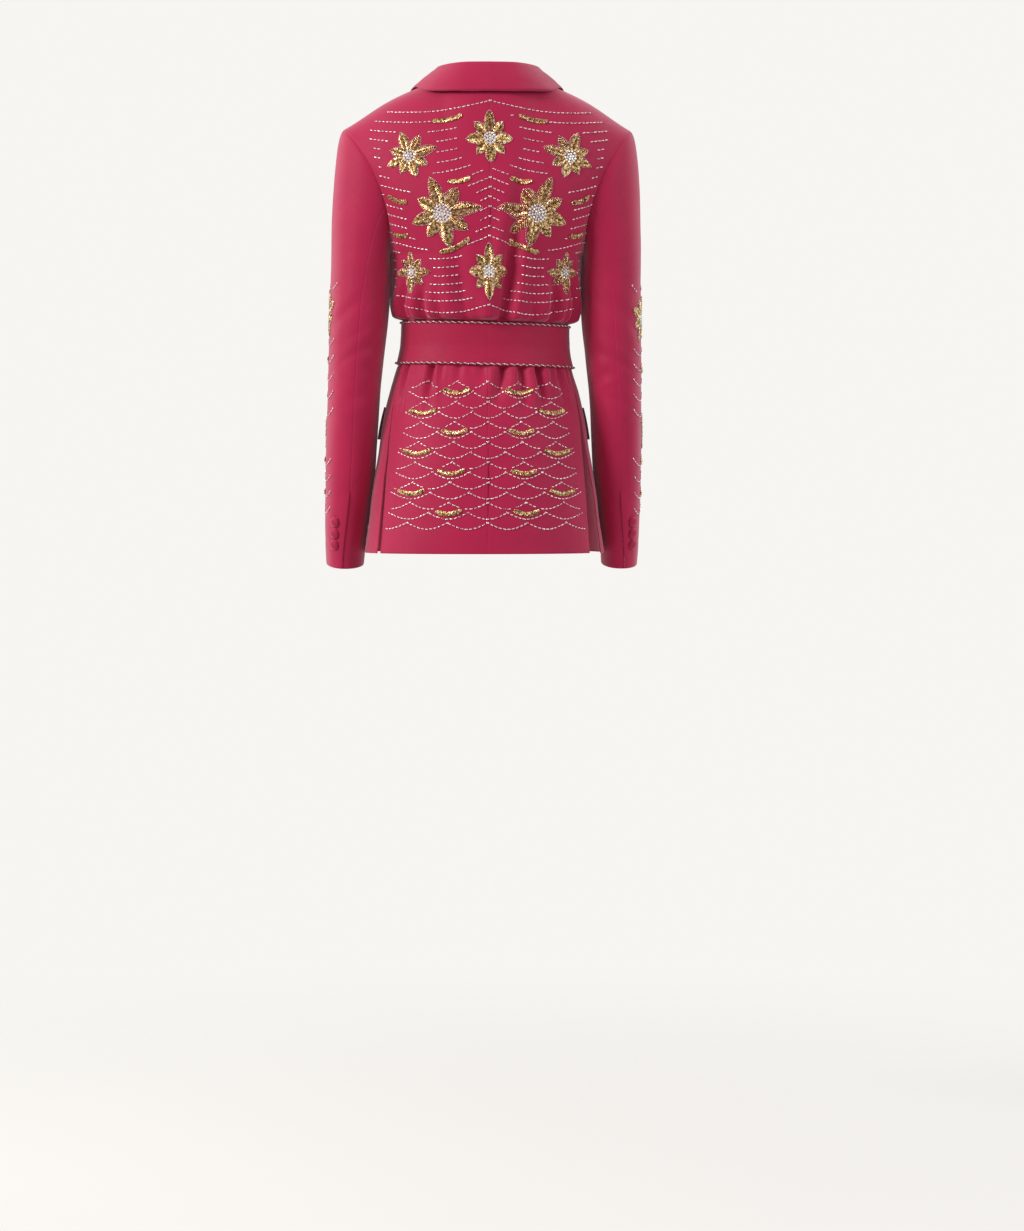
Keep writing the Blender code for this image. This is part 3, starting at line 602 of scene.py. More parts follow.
@dataclass(frozen=True)
class Arm:
    """Outer surface of a sleeve: rows from 0 to 1 lie in its head, a negative row is a height.

    The head leaves the armhole with a roll over the shoulder, which the three rolls give: as it
    lifts, at the shoulder tip, and in front and behind.
    """

    torso: Torso
    bicep: float = -0.300
    outer_square: float = 0.92
    depth_square: float = 0.95
    crease_strength: float = 0.40
    tuck: float = 0.0014
    rolls: tuple[float, float, float] = (0.014, 0.040, 0.016)
    roll_behind: float = 0.018
    drops: tuple[float, float, float] = (0.003, 0.007, 0.020)
    hang: float = 0.9
    flatness: float = 0.6
    crease_ends: float = 3.0
    calm_rate: float = 3.0
    left_closer: float = 0.0028
    closer_from: float = -0.42
    closer_reach: float = 0.20
    unevenness: float = 0.0009
    seeds: tuple[float, float] = (11.0, 17.0)
    wave_scale: float = 13.0
    fine_wave_scale: float = 37.0
    fine_wave: float = 0.3

    @functools.cached_property
    def sections(self) -> tuple[Profile, ...]:
        """Outer side, inner side, half depth, middle and tilt, by height."""
        return profiles(SLEEVE_SECTIONS)

    def ring(self, turn: float, z: float) -> Vector:
        """Point of the left sleeve's ring at a height, smooth."""
        outer, inner, half_depth, middle, tilt = (curve(z) for curve in self.sections)
        across = math.cos(math.radians(turn))
        behind = math.sin(math.radians(turn))
        half_width = (outer - inner) / 2
        x = (outer + inner) / 2
        x += half_width * math.copysign(abs(across) ** self.outer_square, across)
        y = middle + half_depth * math.copysign(abs(behind) ** self.depth_square, behind)
        return Vector((x, y, z + tilt * half_depth * behind))

    def crease_depth(self, turn: float, z: float) -> float:
        """Depth of all creases together."""
        total = 0.0
        for at, height, slant, reach, width, depth in SLEEVE_CREASES:
            round_arm = (turn - at) / reach
            along = (z - height - slant * (turn - at)) / width
            if abs(along) < SLEEVE_CREASE_SHAPE.reach and abs(round_arm) < self.crease_ends:
                total += depth * math.exp(-round_arm**2) * SLEEVE_CREASE_SHAPE.height(along)
        return total * self.crease_strength

    def head(self, turn: float, share: float) -> Vector:
        """Point of the left sleeve's head, from the armhole at 0 to the bicep at 1."""
        angle = math.radians(turn)
        start, end = self.torso.armhole(turn), self.ring(turn, self.bicep)
        lifted = (1 + math.cos(angle)) / 2
        beside = abs(math.sin(angle))
        early, tip, aside = self.rolls
        fall, fall_tip, fall_aside = self.drops
        leave = Vector((early * ease(lifted * 2) + tip * lifted**2 + aside * beside,
                        self.roll_behind * math.sin(angle),
                        fall - fall_tip * lifted - fall_aside * beside))
        start = start - leave.normalized() * self.tuck
        arrive = Vector((0.0, 0.0, -self.hang * abs(start.z - end.z)))
        return blend(start, end, leave, arrive, share)

    def place(self, side: Side, turn: float, row: float, lift: float = 0.0) -> Vector:
        """Find a point of the sleeve.

        Args:
            side: which sleeve.
            turn: degrees round the arm, 0 outside and 90 behind.
            row: share of the head, or a height below it.
            lift: distance outward from the surface.

        Returns:
            The point, before the jacket's lean.
        """
        point = self.head(turn, row) if row >= 0 else self.ring(turn, row)
        height = min(row, self.bicep)
        outer, inner, _, middle, _ = (curve(height) for curve in self.sections)
        behind = (point.y - middle) * self.flatness
        out = Vector((point.x - (outer + inner) / 2, behind, 0.0)).normalized()
        swell = self.crease_depth(turn, row) if row < 0 else 0.0
        calm = 1.0 if row < 0 else ease(row * self.calm_rate)
        seed = self.seeds[0] if side is Side.LEFT else self.seeds[1]
        slow = ripple(point, self.wave_scale, seed)
        fine = self.fine_wave * ripple(point, self.fine_wave_scale, seed)
        swell += self.unevenness * calm * (slow + fine)
        point = point + out * (swell + lift)
        if side is Side.LEFT:
            inner_half = (1 - math.cos(math.radians(turn))) / 2
            below = ease((self.closer_from - point.z) / self.closer_reach)
            point.x -= self.left_closer * below * inner_half
        return Vector((side.value * point.x, point.y, point.z))


# Places on a surface are pairs of numbers, and a surface turns them into points
Place = tuple[float, float]
Color = tuple[float, float, float]
Socket = bpy.types.NodeSocket

UP = Vector((0, 0, 1)).freeze()
# Values between which nearly all of a noise texture lies
NOISE_LOW = 0.3
NOISE_HIGH = 0.7


@dataclass(frozen=True)
class Ground:
    """One surface that beads lie on, with the pair of numbers that names a place on it."""

    at: Callable[[float, float, float], Vector]
    step_u: float = 0.8
    step_v: float = 0.003
    outside: float = 0.01

    def axes(self, u: float, v: float) -> tuple[Vector, Vector, Vector, Vector]:
        """Find the surface's frame at a place.

        Args:
            u: first number of the place.
            v: second number of the place.

        Returns:
            The point, the change for one unit of u, the change for one unit of v, and the
            outward normal.
        """
        here = self.at(u, v, 0.0)
        du, dv = self.step_u, self.step_v
        along_u = (self.at(u + du, v, 0.0) - self.at(u - du, v, 0.0)) / (2 * du)
        along_v = (self.at(u, v + dv, 0.0) - self.at(u, v - dv, 0.0)) / (2 * dv)
        normal = along_u.cross(along_v).normalized()
        if normal.dot(self.at(u, v, self.outside) - here) < 0:
            normal.negate()
        return here, along_u, along_v, normal


class Shader:
    """Small helper round one node material."""

    def __init__(self, name: str, roughness: float, metallic: float = 0.0) -> None:
        """Make the material with its Principled shader.

        Args:
            name: the material's name.
            roughness: constant roughness.
            metallic: constant metallic value.
        """
        self.material = bpy.data.materials.new(name)
        self.material.use_nodes = True
        self.tree = self.material.node_tree
        self.principled = self.tree.nodes["Principled BSDF"]
        self.principled.inputs["Roughness"].default_value = roughness
        self.principled.inputs["Metallic"].default_value = metallic
        self.position = self.tree.nodes.new("ShaderNodeTexCoord").outputs["Object"]

    def noise(self, scale: float, detail: float = 2.0, rough: float = 0.5) -> Socket:
        """Noise over the object's own coordinates."""
        node = self.tree.nodes.new("ShaderNodeTexNoise")
        node.inputs["Scale"].default_value = scale
        node.inputs["Detail"].default_value = detail
        node.inputs["Roughness"].default_value = rough
        self.tree.links.new(self.position, node.inputs["Vector"])
        return node.outputs["Fac"]

    def ramp(self, factor: Socket, stops: Sequence[tuple[float, Sequence[float]]]) -> Socket:
        """Colours by factor.

        Args:
            factor: what the colours follow.
            stops: position and linear colour of each stop.

        Returns:
            The colour socket.
        """
        node = self.tree.nodes.new("ShaderNodeValToRGB")
        elements = node.color_ramp.elements
        while len(elements) < len(stops):
            elements.new(0.5)
        for element, (position, color) in zip(elements, stops):
            element.position = position
            element.color = (*color, 1.0)
        self.tree.links.new(factor, node.inputs["Fac"])
        return node.outputs["Color"]

    def scaled(self, factor: Socket, low: float, high: float) -> Socket:
        """Noise stretched over a range."""
        node = self.tree.nodes.new("ShaderNodeMapRange")
        node.inputs["From Min"].default_value = NOISE_LOW
        node.inputs["From Max"].default_value = NOISE_HIGH
        node.inputs["To Min"].default_value = low
        node.inputs["To Max"].default_value = high
        self.tree.links.new(factor, node.inputs["Value"])
        return node.outputs["Result"]

    def bump(self, height: Socket, strength: float, distance: float,
             under: Socket | None = None) -> Socket:
        """Bumped normal.

        Args:
            height: the relief.
            strength: its strength.
            distance: its depth in metres.
            under: a bumped normal that this one is laid on.

        Returns:
            The normal socket.
        """
        node = self.tree.nodes.new("ShaderNodeBump")
        node.inputs["Strength"].default_value = strength
        node.inputs["Distance"].default_value = distance
        self.tree.links.new(height, node.inputs["Height"])
        if under is not None:
            self.tree.links.new(under, node.inputs["Normal"])
        return node.outputs["Normal"]

    def feed(self, socket: str, source: Socket) -> None:
        """Link a source to a socket of the Principled shader."""
        self.tree.links.new(source, self.principled.inputs[socket])


@dataclass(frozen=True)
class CrepeFinish:
    """Wool or silk crepe: fine pebbled grain, uneven dye, soft sheen."""

    name: str
    color: Color
    roughness: float = 0.60
    roughness_range: tuple[float, float] = (-0.05, 0.06)
    mottling: float = 0.05
    mottle_scale: float = 16.0
    grain: float = 1150.0
    grain_strength: float = 0.55
    grain_depth: float = 0.00016
    slub: float = 95.0
    slub_strength: float = 0.12
    slub_depth: float = 0.0006
    gloss_scale: float = 260.0
    sheen: float = 0.70
    sheen_roughness: float = 0.42
    sheen_tint: Color = (1.0, 0.62, 0.74)
    specular: float = 0.20

    def material(self) -> Material:
        """Build the cloth's material."""
        shader = Shader(self.name, self.roughness)
        low = [c * (1 - self.mottling) for c in self.color]
        high = [c * (1 + self.mottling) for c in self.color]
        patches = shader.noise(self.mottle_scale, 4.0, 0.6)
        shader.feed("Base Color", shader.ramp(patches, [(0.3, low), (0.7, high)]))
        grain = shader.noise(self.grain, 3.0, 0.65)
        pebble = shader.bump(grain, self.grain_strength, self.grain_depth)
        slubs = shader.noise(self.slub, 3.0, 0.5)
        shader.feed("Normal", shader.bump(slubs, self.slub_strength, self.slub_depth, pebble))
        matt, shiny = (self.roughness + change for change in self.roughness_range)
        shader.feed("Roughness", shader.scaled(shader.noise(self.gloss_scale, 2.0), matt, shiny))
        sockets = shader.principled.inputs
        sockets["Sheen Weight"].default_value = self.sheen
        sockets["Sheen Roughness"].default_value = self.sheen_roughness
        sockets["Sheen Tint"].default_value = (*self.sheen_tint, 1.0)
        sockets["Specular IOR Level"].default_value = self.specular
        return shader.material


@dataclass(frozen=True)
class BeadFinish:
    """Beads in tones scattered by noise; in gold and the belt's dark strand they include painted
    highlight and shade.
    """

    name: str
    tones: tuple[tuple[float, Color], ...]
    roughness: float
    metallic: float
    coat: float = 0.6
    coat_roughness: float = 0.06
    change: float = 330.0
    slot: str = ""

    def material(self) -> Material:
        """Build the beads' material."""
        shader = Shader(self.name, self.roughness, self.metallic)
        shader.feed("Base Color", shader.ramp(shader.noise(self.change, 1.0), self.tones))
        gloss = shader.noise(self.change * 0.6, 1.0)
        shader.feed("Roughness", shader.scaled(gloss, self.roughness * 0.6, self.roughness * 1.6))
        shader.principled.inputs["Coat Weight"].default_value = self.coat
        shader.principled.inputs["Coat Roughness"].default_value = self.coat_roughness
        return shader.material


CREPE = CrepeFinish("crepe", (0.405, 0.0085, 0.0590))
BELT_CREPE = CrepeFinish("belt_crepe", (0.375, 0.0080, 0.0510), grain_depth=0.00011)
SILVER = BeadFinish(
    "silver_beads",
    (
        (0.30, (0.30, 0.13, 0.17)),
        (0.42, (0.74, 0.58, 0.62)),
        (0.55, (0.95, 0.90, 0.90)),
        (0.70, (1.0, 0.98, 0.97)),
    ),
    roughness=0.24,
    metallic=0.45,
)
# Gold beads: noise scatters tones from dark brown, which is painted shade like that between the
# tubes, through the gold's own mid tones to pale gold, which is a painted highlight
GOLD_WITH_PAINTED_LIGHT = BeadFinish(
    "gold_beads",
    (
        (0.32, (0.10, 0.048, 0.020)),
        (0.44, (0.40, 0.21, 0.070)),
        (0.56, (0.80, 0.50, 0.18)),
        (0.68, (1.0, 0.88, 0.62)),
    ),
    roughness=0.22,
    metallic=0.85,
)
# Dark strand of the belt's rope: a strand of the belt's crepe, darkened into painted shade like the
# shade in the twist between the silver beads
STRAND_PAINTED_SHADE = BeadFinish(
    "belt_strand_painted_shade",
    ((0.30, (0.10, 0.004, 0.016)), (0.70, (0.30, 0.016, 0.05))),
    roughness=0.45,
    metallic=0.0,
    coat=0.1,
    slot="belt_crepe",
)
CRYSTAL = BeadFinish(
    "crystal",
    ((0.30, (0.40, 0.34, 0.32)), (0.50, (0.86, 0.82, 0.78)), (0.70, (1.0, 0.99, 0.96))),
    roughness=0.10,
    metallic=0.25,
    coat=1.0,
    change=420.0,
)


@dataclass
class Wardrobe:
    """The finished materials, made once and shared."""

    made: dict[str, Material] = field(default_factory=dict)

    def take(self, finish: CrepeFinish | BeadFinish) -> Material:
        """Return the material of a finish, built the first time it is asked for."""
        if finish.name not in self.made:
            self.made[finish.name] = finish.material()
        return self.made[finish.name]


@dataclass(frozen=True)
class Cut:
    """What the cutter would lay flat for a cloth piece."""

    width: float
    length: float
    area: float
    held: Hold
    rests_on: tuple[str, ...] = ()


def sew_in(obj: Piece, slot: str, nodes: Iterable[str], cut: Cut | None = None) -> None:
    """Hang a finished piece on the jacket's body.

    Args:
        obj: the piece.
        slot: the finish slot that it takes; not used.
        nodes: solids that it stands for.
        cut: its flat cut, if it is a sheet of cloth.
    """
    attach(obj, "root")
    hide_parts(*nodes)
    if cut is not None:
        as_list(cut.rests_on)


def sewn_cloth(node: str, grid: Sequence[Sequence[Vector]], wardrobe: Wardrobe, outward: Vector,
               wall: float, cut: Cut, finish: CrepeFinish = CREPE) -> Piece:
    """Make the cloth that stands for one solid, its wall on the inner side, and sew it in.

    Args:
        node: the solid.
        grid: rows of points on the outer side, before the jacket's lean.
        wardrobe: where the cloth is kept.
        outward: rough outward direction at the middle of the grid.
        wall: thickness of the cloth.
        cut: its flat cut.
        finish: its cloth.

    Returns:
        The piece.
    """
    bm = bmesh.new()
    rows = [[bm.verts.new(settle(point)) for point in row] for row in grid]
    for lower, upper in zip(rows, rows[1:]):
        for i in range(len(lower) - 1):
            bm.faces.new((lower[i], lower[i + 1], upper[i + 1], upper[i]))
    bm.normal_update()
    bm.faces.ensure_lookup_table()
    if bm.faces[len(bm.faces) // 2].normal.dot(outward) < 0:
        bmesh.ops.reverse_faces(bm, faces=bm.faces[:])
    name = f"{node}_cloth"
    mesh = bpy.data.meshes.new(name)
    bm.to_mesh(mesh)
    bm.free()
    mesh.materials.append(wardrobe.take(finish))
    mesh.shade_smooth()
    obj = bpy.data.objects.new(name, mesh)
    bpy.context.scene.collection.objects.link(obj)
    thick = obj.modifiers.new("wall", "SOLIDIFY")
    thick.thickness = wall
    thick.offset = -1.0
    thick.use_quality_normals = True
    sew_in(obj, finish.name, (node,), cut)
    return obj


def spread(count: int, edge: Sequence[float]) -> list[float]:
    """Shares of a panel's width, even inside and closer near both edges.

    Args:
        count: even steps inside.
        edge: rising shares of the close columns at one edge.

    Returns:
        The shares from 0 to 1.
    """
    last = edge[-1]
    inner = [last + (1 - 2 * last) * i / count for i in range(1, count)]
    return [0.0, *edge, *inner, *(1 - share for share in reversed(edge)), 1.0]


@dataclass(frozen=True)
class Groove:
    """Groove beside a seam, or the rounding of a folded edge."""

    depth: float
    reach: float

    def dip(self, distance: float) -> float:
        """Depth at a distance from the seam or edge, negative inward."""
        return -self.depth * (1 - ease(distance / self.reach))


SEAM = Groove(0.0006, 0.0022)
PRESSED_SEAM = Groove(0.00022, 0.0022)
ARMHOLE_SEAM = Groove(0.0006, 0.0030)
BELT_SEAM = Groove(0.0007, 0.0022)
VENT_FOLD = Groove(0.0004, 0.0010)
HEM_FOLD = Groove(0.0004, 0.0012)
COLLAR_FOLD = Groove(0.0005, 0.0012)
LAPEL_FOLD = Groove(0.0004, 0.0015)
FLAP_FOLD = Groove(0.0005, 0.0015)
BELT_FOLD = Groove(0.0006, 0.0016)


def print_through(distance: float, depth: float, width: float = 0.0022) -> float:
    """Faint line where the edge of turned-in cloth shows through, negative inward."""
    return -depth * math.exp(-((distance / width) ** 2))


def even_shares(steps: int) -> list[float]:
    """Shares from 0 to 1 in even steps."""
    return [i / steps for i in range(steps + 1)]


def between(start: float, end: float, share: float) -> float:
    """Value at a share of the way from one value to another."""
    return start + (end - start) * share


@dataclass(frozen=True)
class BodyPanels:
    """Two backs and two fronts, fitted above the belt and flared below it."""

    torso: Torso
    columns: int = 46
    edge_columns: tuple[float, ...] = (0.003, 0.007, 0.012, 0.020)
    # First height, step and number of rows, close together where the belt gathers the cloth
    row_marks: tuple[tuple[float, float, int], ...] = (
        (-0.705, 0.0012, 3), (-0.7014, 0.0035, 66), (-0.4705, 0.0022, 20), (-0.4265, 0.0045, 13),
        (-0.368, 0.0016, 18), (-0.3392, 0.0030, 26), (-0.2612, 0.0042, 20),
    )
    shoulder_rows: tuple[float, ...] = (
        -0.175, -0.145, -0.118, -0.096, -0.078, -0.063, -0.050, -0.035, -0.018, -0.002,
    )
    hem_turned_up: float = 0.038
    vent_turned_in: float = 0.030
    vent_below_belt: float = 0.02
    flare_from: float = 0.7
    lap_depth: float = 0.0032
    lap_line: tuple[float, float] = (0.060, 0.024)
    lap_top: tuple[float, float] = (-0.255, 0.05)
    back_cut: Cut = Cut(0.25, 0.73, 0.129, Hold.GATHERED, ("belt", "collar"))
    front_cut: Cut = Cut(0.30, 0.73, 0.167, Hold.GATHERED, ("belt", "collar"))

    def rows(self) -> list[float]:
        """Heights of the rows from the hem up."""
        heights = [start + step * i for start, step, count in self.row_marks for i in range(count)]
        for low, high in zip(self.shoulder_rows, self.shoulder_rows[1:]):
            heights += [between(low, high, i / 4) for i in range(1, 5)]
        return sorted(set(round(height, 5) for height in heights))

    def relief(self, z: float, to_first: float, to_last: float, free: bool) -> float:
        """Grooves at the seams and the print-through of what is turned in.

        Args:
            z: the row.
            to_first: distance from the panel's first edge.
            to_last: distance from its last edge.
            free: whether the last edge hangs free there, at the vent.

        Returns:
            The depth, negative inward.
        """
        dip = PRESSED_SEAM.dip(to_first) + (VENT_FOLD if free else SEAM).dip(to_last)
        dip += print_through(z - HEM_Z - self.hem_turned_up, 0.0003)
        if free:
            dip += print_through(to_last - self.vent_turned_in, 0.00025)
        return dip + HEM_FOLD.dip(z - HEM_Z)

    def lap(self, turn: float, z: float) -> float:
        """How far the left front lies back under the right one."""
        x = abs(self.torso.place(Side.LEFT, Face.FRONT, turn, z).x) if turn > 0 else 0.0
        line, line_reach = self.lap_line
        top, top_reach = self.lap_top
        return self.lap_depth * ease((line - x) / line_reach) * ease((top - z) / top_reach)

    def grid(self, side: Side, face: Face) -> list[list[Vector]]:
        """Points of one panel.

        Args:
            side: half of the body.
            face: back or front.

        Returns:
            The rows, from the hem up.
        """
        back_edge, front_left, front_right, flare_left, flare_right = profiles(VENT_EDGES)
        front_edge = profiles(FRONT_EDGE)[0]
        vent, flare = (front_left, flare_left) if side is Side.LEFT else (front_right, flare_right)
        half_width = self.torso.sections[0]
        grid = []
        for z in self.rows():
            first = 0.0 if face is Face.BACK else self.torso.turn_at(front_edge(z), z)
            if z > UNDERARM_Z:
                last = self.torso.edge_turn(z)
            else:
                last = back_edge(z) if face is Face.BACK else 180.0 - vent(z)
            length = math.radians(last - first) * (half_width(z) + 0.12) / 2
            free = z < BELT_BOTTOM_Z - self.vent_below_belt
            row = []
            for share in spread(self.columns, self.edge_columns):
                turn = between(first, last, share)
                to_first = share * length if face is Face.BACK else 1.0
                lift = self.relief(z, to_first, (1 - share) * length, free)
                if face is Face.FRONT:
                    lift += flare(z) * ease((share - self.flare_from) / (1 - self.flare_from))
                    if side is Side.LEFT:
                        lift -= self.lap(turn, z)
                row.append(self.torso.place(side, face, turn, z, lift))
            grid.append(row)
        return grid

    def build(self, wardrobe: Wardrobe) -> Iterator[Piece]:
        """Make the four panels."""
        for side in Side:
            for face in Face:
                name = f"{face.value}_{side.label}"
                outward = Vector((0, 1 if face is Face.BACK else -1, 0))
                cut = self.back_cut if face is Face.BACK else self.front_cut
                yield sewn_cloth(name, self.grid(side, face), wardrobe, outward, PANEL_WALL, cut)


@dataclass(frozen=True)
class Sleeves:
    """Two-piece sleeves with an elbow seam that opens into the cuff vent."""

    arm: Arm
    columns: int = 38
    edge_columns: tuple[float, ...] = (0.006, 0.013, 0.022)
    first_rows: tuple[float, ...] = (0.0, 0.012, 0.03)
    head_rows: int = 34
    # First height, step down and number of rows, close together at the elbow
    row_marks: tuple[tuple[float, float, int], ...] = (
        (-0.300, 0.004, 20), (-0.380, 0.0028, 46), (-0.5088, 0.0042, 50),
    )
    cuff_rows: tuple[float, ...] = (-0.7188, -0.7206, -0.7220)
    around: float = 0.052
    head_length: float = 0.06
    middle_turn: float = 100.0
    vent_top: float = -0.604
    vent_opening: float = 0.010
    vent_lift: float = 0.0013
    vent_flap: tuple[float, float] = (0.002, 0.020)
    cuff_turned_up: float = 0.036
    top_cut: Cut = Cut(0.22, 0.66, 0.113, Hold.HUNG, ())
    under_cut: Cut = Cut(0.14, 0.54, 0.064, Hold.HUNG, ())

    def rows(self) -> list[float]:
        """Rows from the armhole down to the cuff."""
        head = [0.05 + 0.95 * i / self.head_rows for i in range(self.head_rows)]
        heights = [start - step * i for start, step, count in self.row_marks for i in range(count)]
        return [*self.first_rows, *head, *heights, *self.cuff_rows]

    def relief(self, row: float, z: float, to_front: float, to_elbow: float, top: bool) -> float:
        """Grooves at the seams, the lifted vent and the print-through of the turned-up cuff.

        Args:
            row: share of the head, or a height below it.
            z: height of the row.
            to_front: distance from the front seam.
            to_elbow: distance from the elbow seam.
            top: whether it is the top piece.

        Returns:
            The lift, negative inward.
        """
        open_vent = ease((self.vent_top - z) / self.vent_opening)
        lift = SEAM.dip(to_front) + PRESSED_SEAM.dip(to_elbow) * (1 - open_vent if top else 1.0)
        if top:
            start, reach = self.vent_flap
            lift += self.vent_lift * open_vent * ease(1 - (to_elbow - start) / reach)
        lift += HEM_FOLD.dip(z - CUFF_Z)
        lift += print_through(z - CUFF_Z - self.cuff_turned_up, 0.0002, 0.002)
        if row >= 0:
            lift += ARMHOLE_SEAM.dip(row * self.head_length)
        return lift

    def grid(self, side: Side, top: bool) -> list[list[Vector]]:
        """Points of one piece of a sleeve.

        Args:
            side: which sleeve.
            top: whether it is the top piece.

        Returns:
            The rows, from the armhole down.
        """
        elbow, front = profiles(SLEEVE_SEAMS)
        middle = self.arm.torso.armhole(self.middle_turn).z
        grid = []
        for row in self.rows():
            z = row if row < 0 else middle * (1 - row) + self.arm.bicep * row
            first, last = (front(z) - 360.0, elbow(z)) if top else (elbow(z), front(z))
            length = math.radians(last - first) * self.around
            line = []
            for share in spread(self.columns, self.edge_columns):
                from_first, from_last = share * length, (1 - share) * length
                to_front, to_elbow = (from_first, from_last) if top else (from_last, from_first)
                lift = self.relief(row, z, to_front, to_elbow, top)
                line.append(self.arm.place(side, between(first, last, share), row, lift))
            grid.append(line)
        return grid

    def build(self, wardrobe: Wardrobe) -> Iterator[Piece]:
        """Make both pieces of both sleeves."""
        for side in Side:
            for top in (True, False):
                name = f"sleeve_{'top' if top else 'under'}_{side.label}"
                outward = Vector((side.value if top else -side.value, 0, 0))
                cut = self.top_cut if top else self.under_cut
                yield sewn_cloth(name, self.grid(side, top), wardrobe, outward, PANEL_WALL, cut)


@dataclass(frozen=True)
class Collar:
    """Stand and fall in one, folded over round the back of the neck."""

    fold_radius: float = 0.0030
    fold_turns: tuple[float, ...] = (150.0, 120.0, 90.0, 60.0, 30.0)
    fold_tightening: float = 0.25
    tighter_from: float = 0.7
    stand_rows: int = 6
    fall_rows: int = 12
    fall_length: float = 0.04
    bow: float = 0.0018
    unevenness: float = 0.0005
    wave_scale: float = 40.0
    across: int = 60
    cut: Cut = Cut(0.080, 0.48, 0.0290, Hold.FOLDED, ())

    def row(self, share: float) -> list[Vector]:
        """Points from the neck seam over the fold to the outer edge, at a signed share."""
        sign = -1 if share < 0 else 1
        at = abs(share)
        values = [curve(at) for curve in profiles(COLLAR_ROWS)]
        seam, fold, edge = (Vector(values[i:i + 3]) for i in (0, 3, 6))
        away = Vector((edge.x - fold.x, edge.y - fold.y, 0.0)).normalized()
        tighter = ease((at - self.tighter_from) / (1 - self.tighter_from))
        radius = self.fold_radius * (1 - self.fold_tightening * tighter)
        line = [seam.lerp(fold, 0.9 * along) for along in even_shares(self.stand_rows)]
        for angle in self.fold_turns:
            turned = math.radians(angle)
            out, up = radius * (1 + math.cos(turned)), radius * math.sin(turned)
            line.append(fold + away * out + Vector((0, 0, up)))
        shoulder = fold + away * 2.2 * radius
        for along in even_shares(self.fall_rows)[1:]:
            swell = self.bow * math.sin(math.pi * along)
            swell += self.unevenness * ripple(edge * along, self.wave_scale, share * 3)
            swell += COLLAR_FOLD.dip((1 - along) * self.fall_length)
            line.append(shoulder.lerp(edge, along) + Vector((0, 0, swell)))
        return [Vector((sign * p.x, p.y, p.z)) for p in line]

    def build(self, wardrobe: Wardrobe) -> Piece:
        """Make the collar."""
        grid = [self.row(i / self.across) for i in range(-self.across, self.across + 1)]
        return sewn_cloth("collar", grid, wardrobe, Vector((0, -1, 0)), TRIM_WALL, self.cut)


@dataclass(frozen=True)
class Lapels:
    """Lapels turned back along the roll line, each lying on its front."""

    torso: Torso
    lift: float = 0.0030
    swell: float = 0.0022
    width: float = 0.05
    rows: int = 40
    columns: tuple[float, ...] = (
        0.0, 0.02, 0.05, 0.1, 0.18, 0.28, 0.4, 0.52, 0.64, 0.76, 0.87, 0.95, 0.98, 1.0,
    )
    cut: Cut = Cut(0.085, 0.27, 0.0125, Hold.FOLDED, ("front_left_cloth", "front_right_cloth"))

    def grid(self, side: Side) -> list[list[Vector]]:
        """Points of one lapel, from its foot up."""
        roll_line, outer_line, drop_line = profiles(LAPEL_ROWS)
        foot, top = LAPEL_ROWS[0][0], LAPEL_ROWS[-1][0]
        grid = []
        for share in even_shares(self.rows):
            z = between(foot, top, share)
            row = []
            for across in self.columns:
                x = between(roll_line(z), outer_line(z), across)
                lift = self.lift + self.swell * math.sin(math.pi * across) * ease(share * 3)
                lift += LAPEL_FOLD.dip((1 - across) * self.width)
                height = z - drop_line(z) * across**3
                turn, found = self.torso.find(side, Face.FRONT, x, height)
                row.append(self.torso.place(side, Face.FRONT, turn, found, lift))
            grid.append(row)
        return grid

    def build(self, wardrobe: Wardrobe) -> Iterator[Piece]:
        """Make both lapels."""
        for side in Side:
            name, outward = f"lapel_{side.label}", Vector((0, -1, 0))
            yield sewn_cloth(name, self.grid(side), wardrobe, outward, TRIM_WALL, self.cut)


@dataclass(frozen=True)
class PocketFlaps:
    """Pocket flaps on the fronts at hip height."""

    torso: Torso
    turns: tuple[float, float] = (88.0, 141.0)
    top_z: float = -0.4880
    bottom_z: float = -0.5360
    lift_top: float = 0.0026
    lift_bottom: float = 0.0048
    rows: int = 16
    columns: int = 40
    cut: Cut = Cut(0.122, 0.048, 0.0058, Hold.HUNG, ("front_left_cloth", "front_right_cloth"))

    def grid(self, side: Side) -> list[list[Vector]]:
        """Points of one flap, from its seam down."""
        turns = [180.0 - between(*self.turns, across) for across in even_shares(self.columns)]
        grid = []
        for down in even_shares(self.rows):
            z = between(self.top_z, self.bottom_z, down)
            lift = between(self.lift_top, self.lift_bottom, down)
            lift += FLAP_FOLD.dip((1 - down) * (self.top_z - self.bottom_z))
            grid.append([self.torso.place(side, Face.FRONT, turn, z, lift) for turn in turns])
        return grid

    def build(self, wardrobe: Wardrobe) -> Iterator[Piece]:
        """Make both flaps."""
        for side in Side:
            name, outward = f"pocket_flap_{side.label}", Vector((side.value, -1, 0))
            yield sewn_cloth(name, self.grid(side), wardrobe, outward, TRIM_WALL, self.cut)


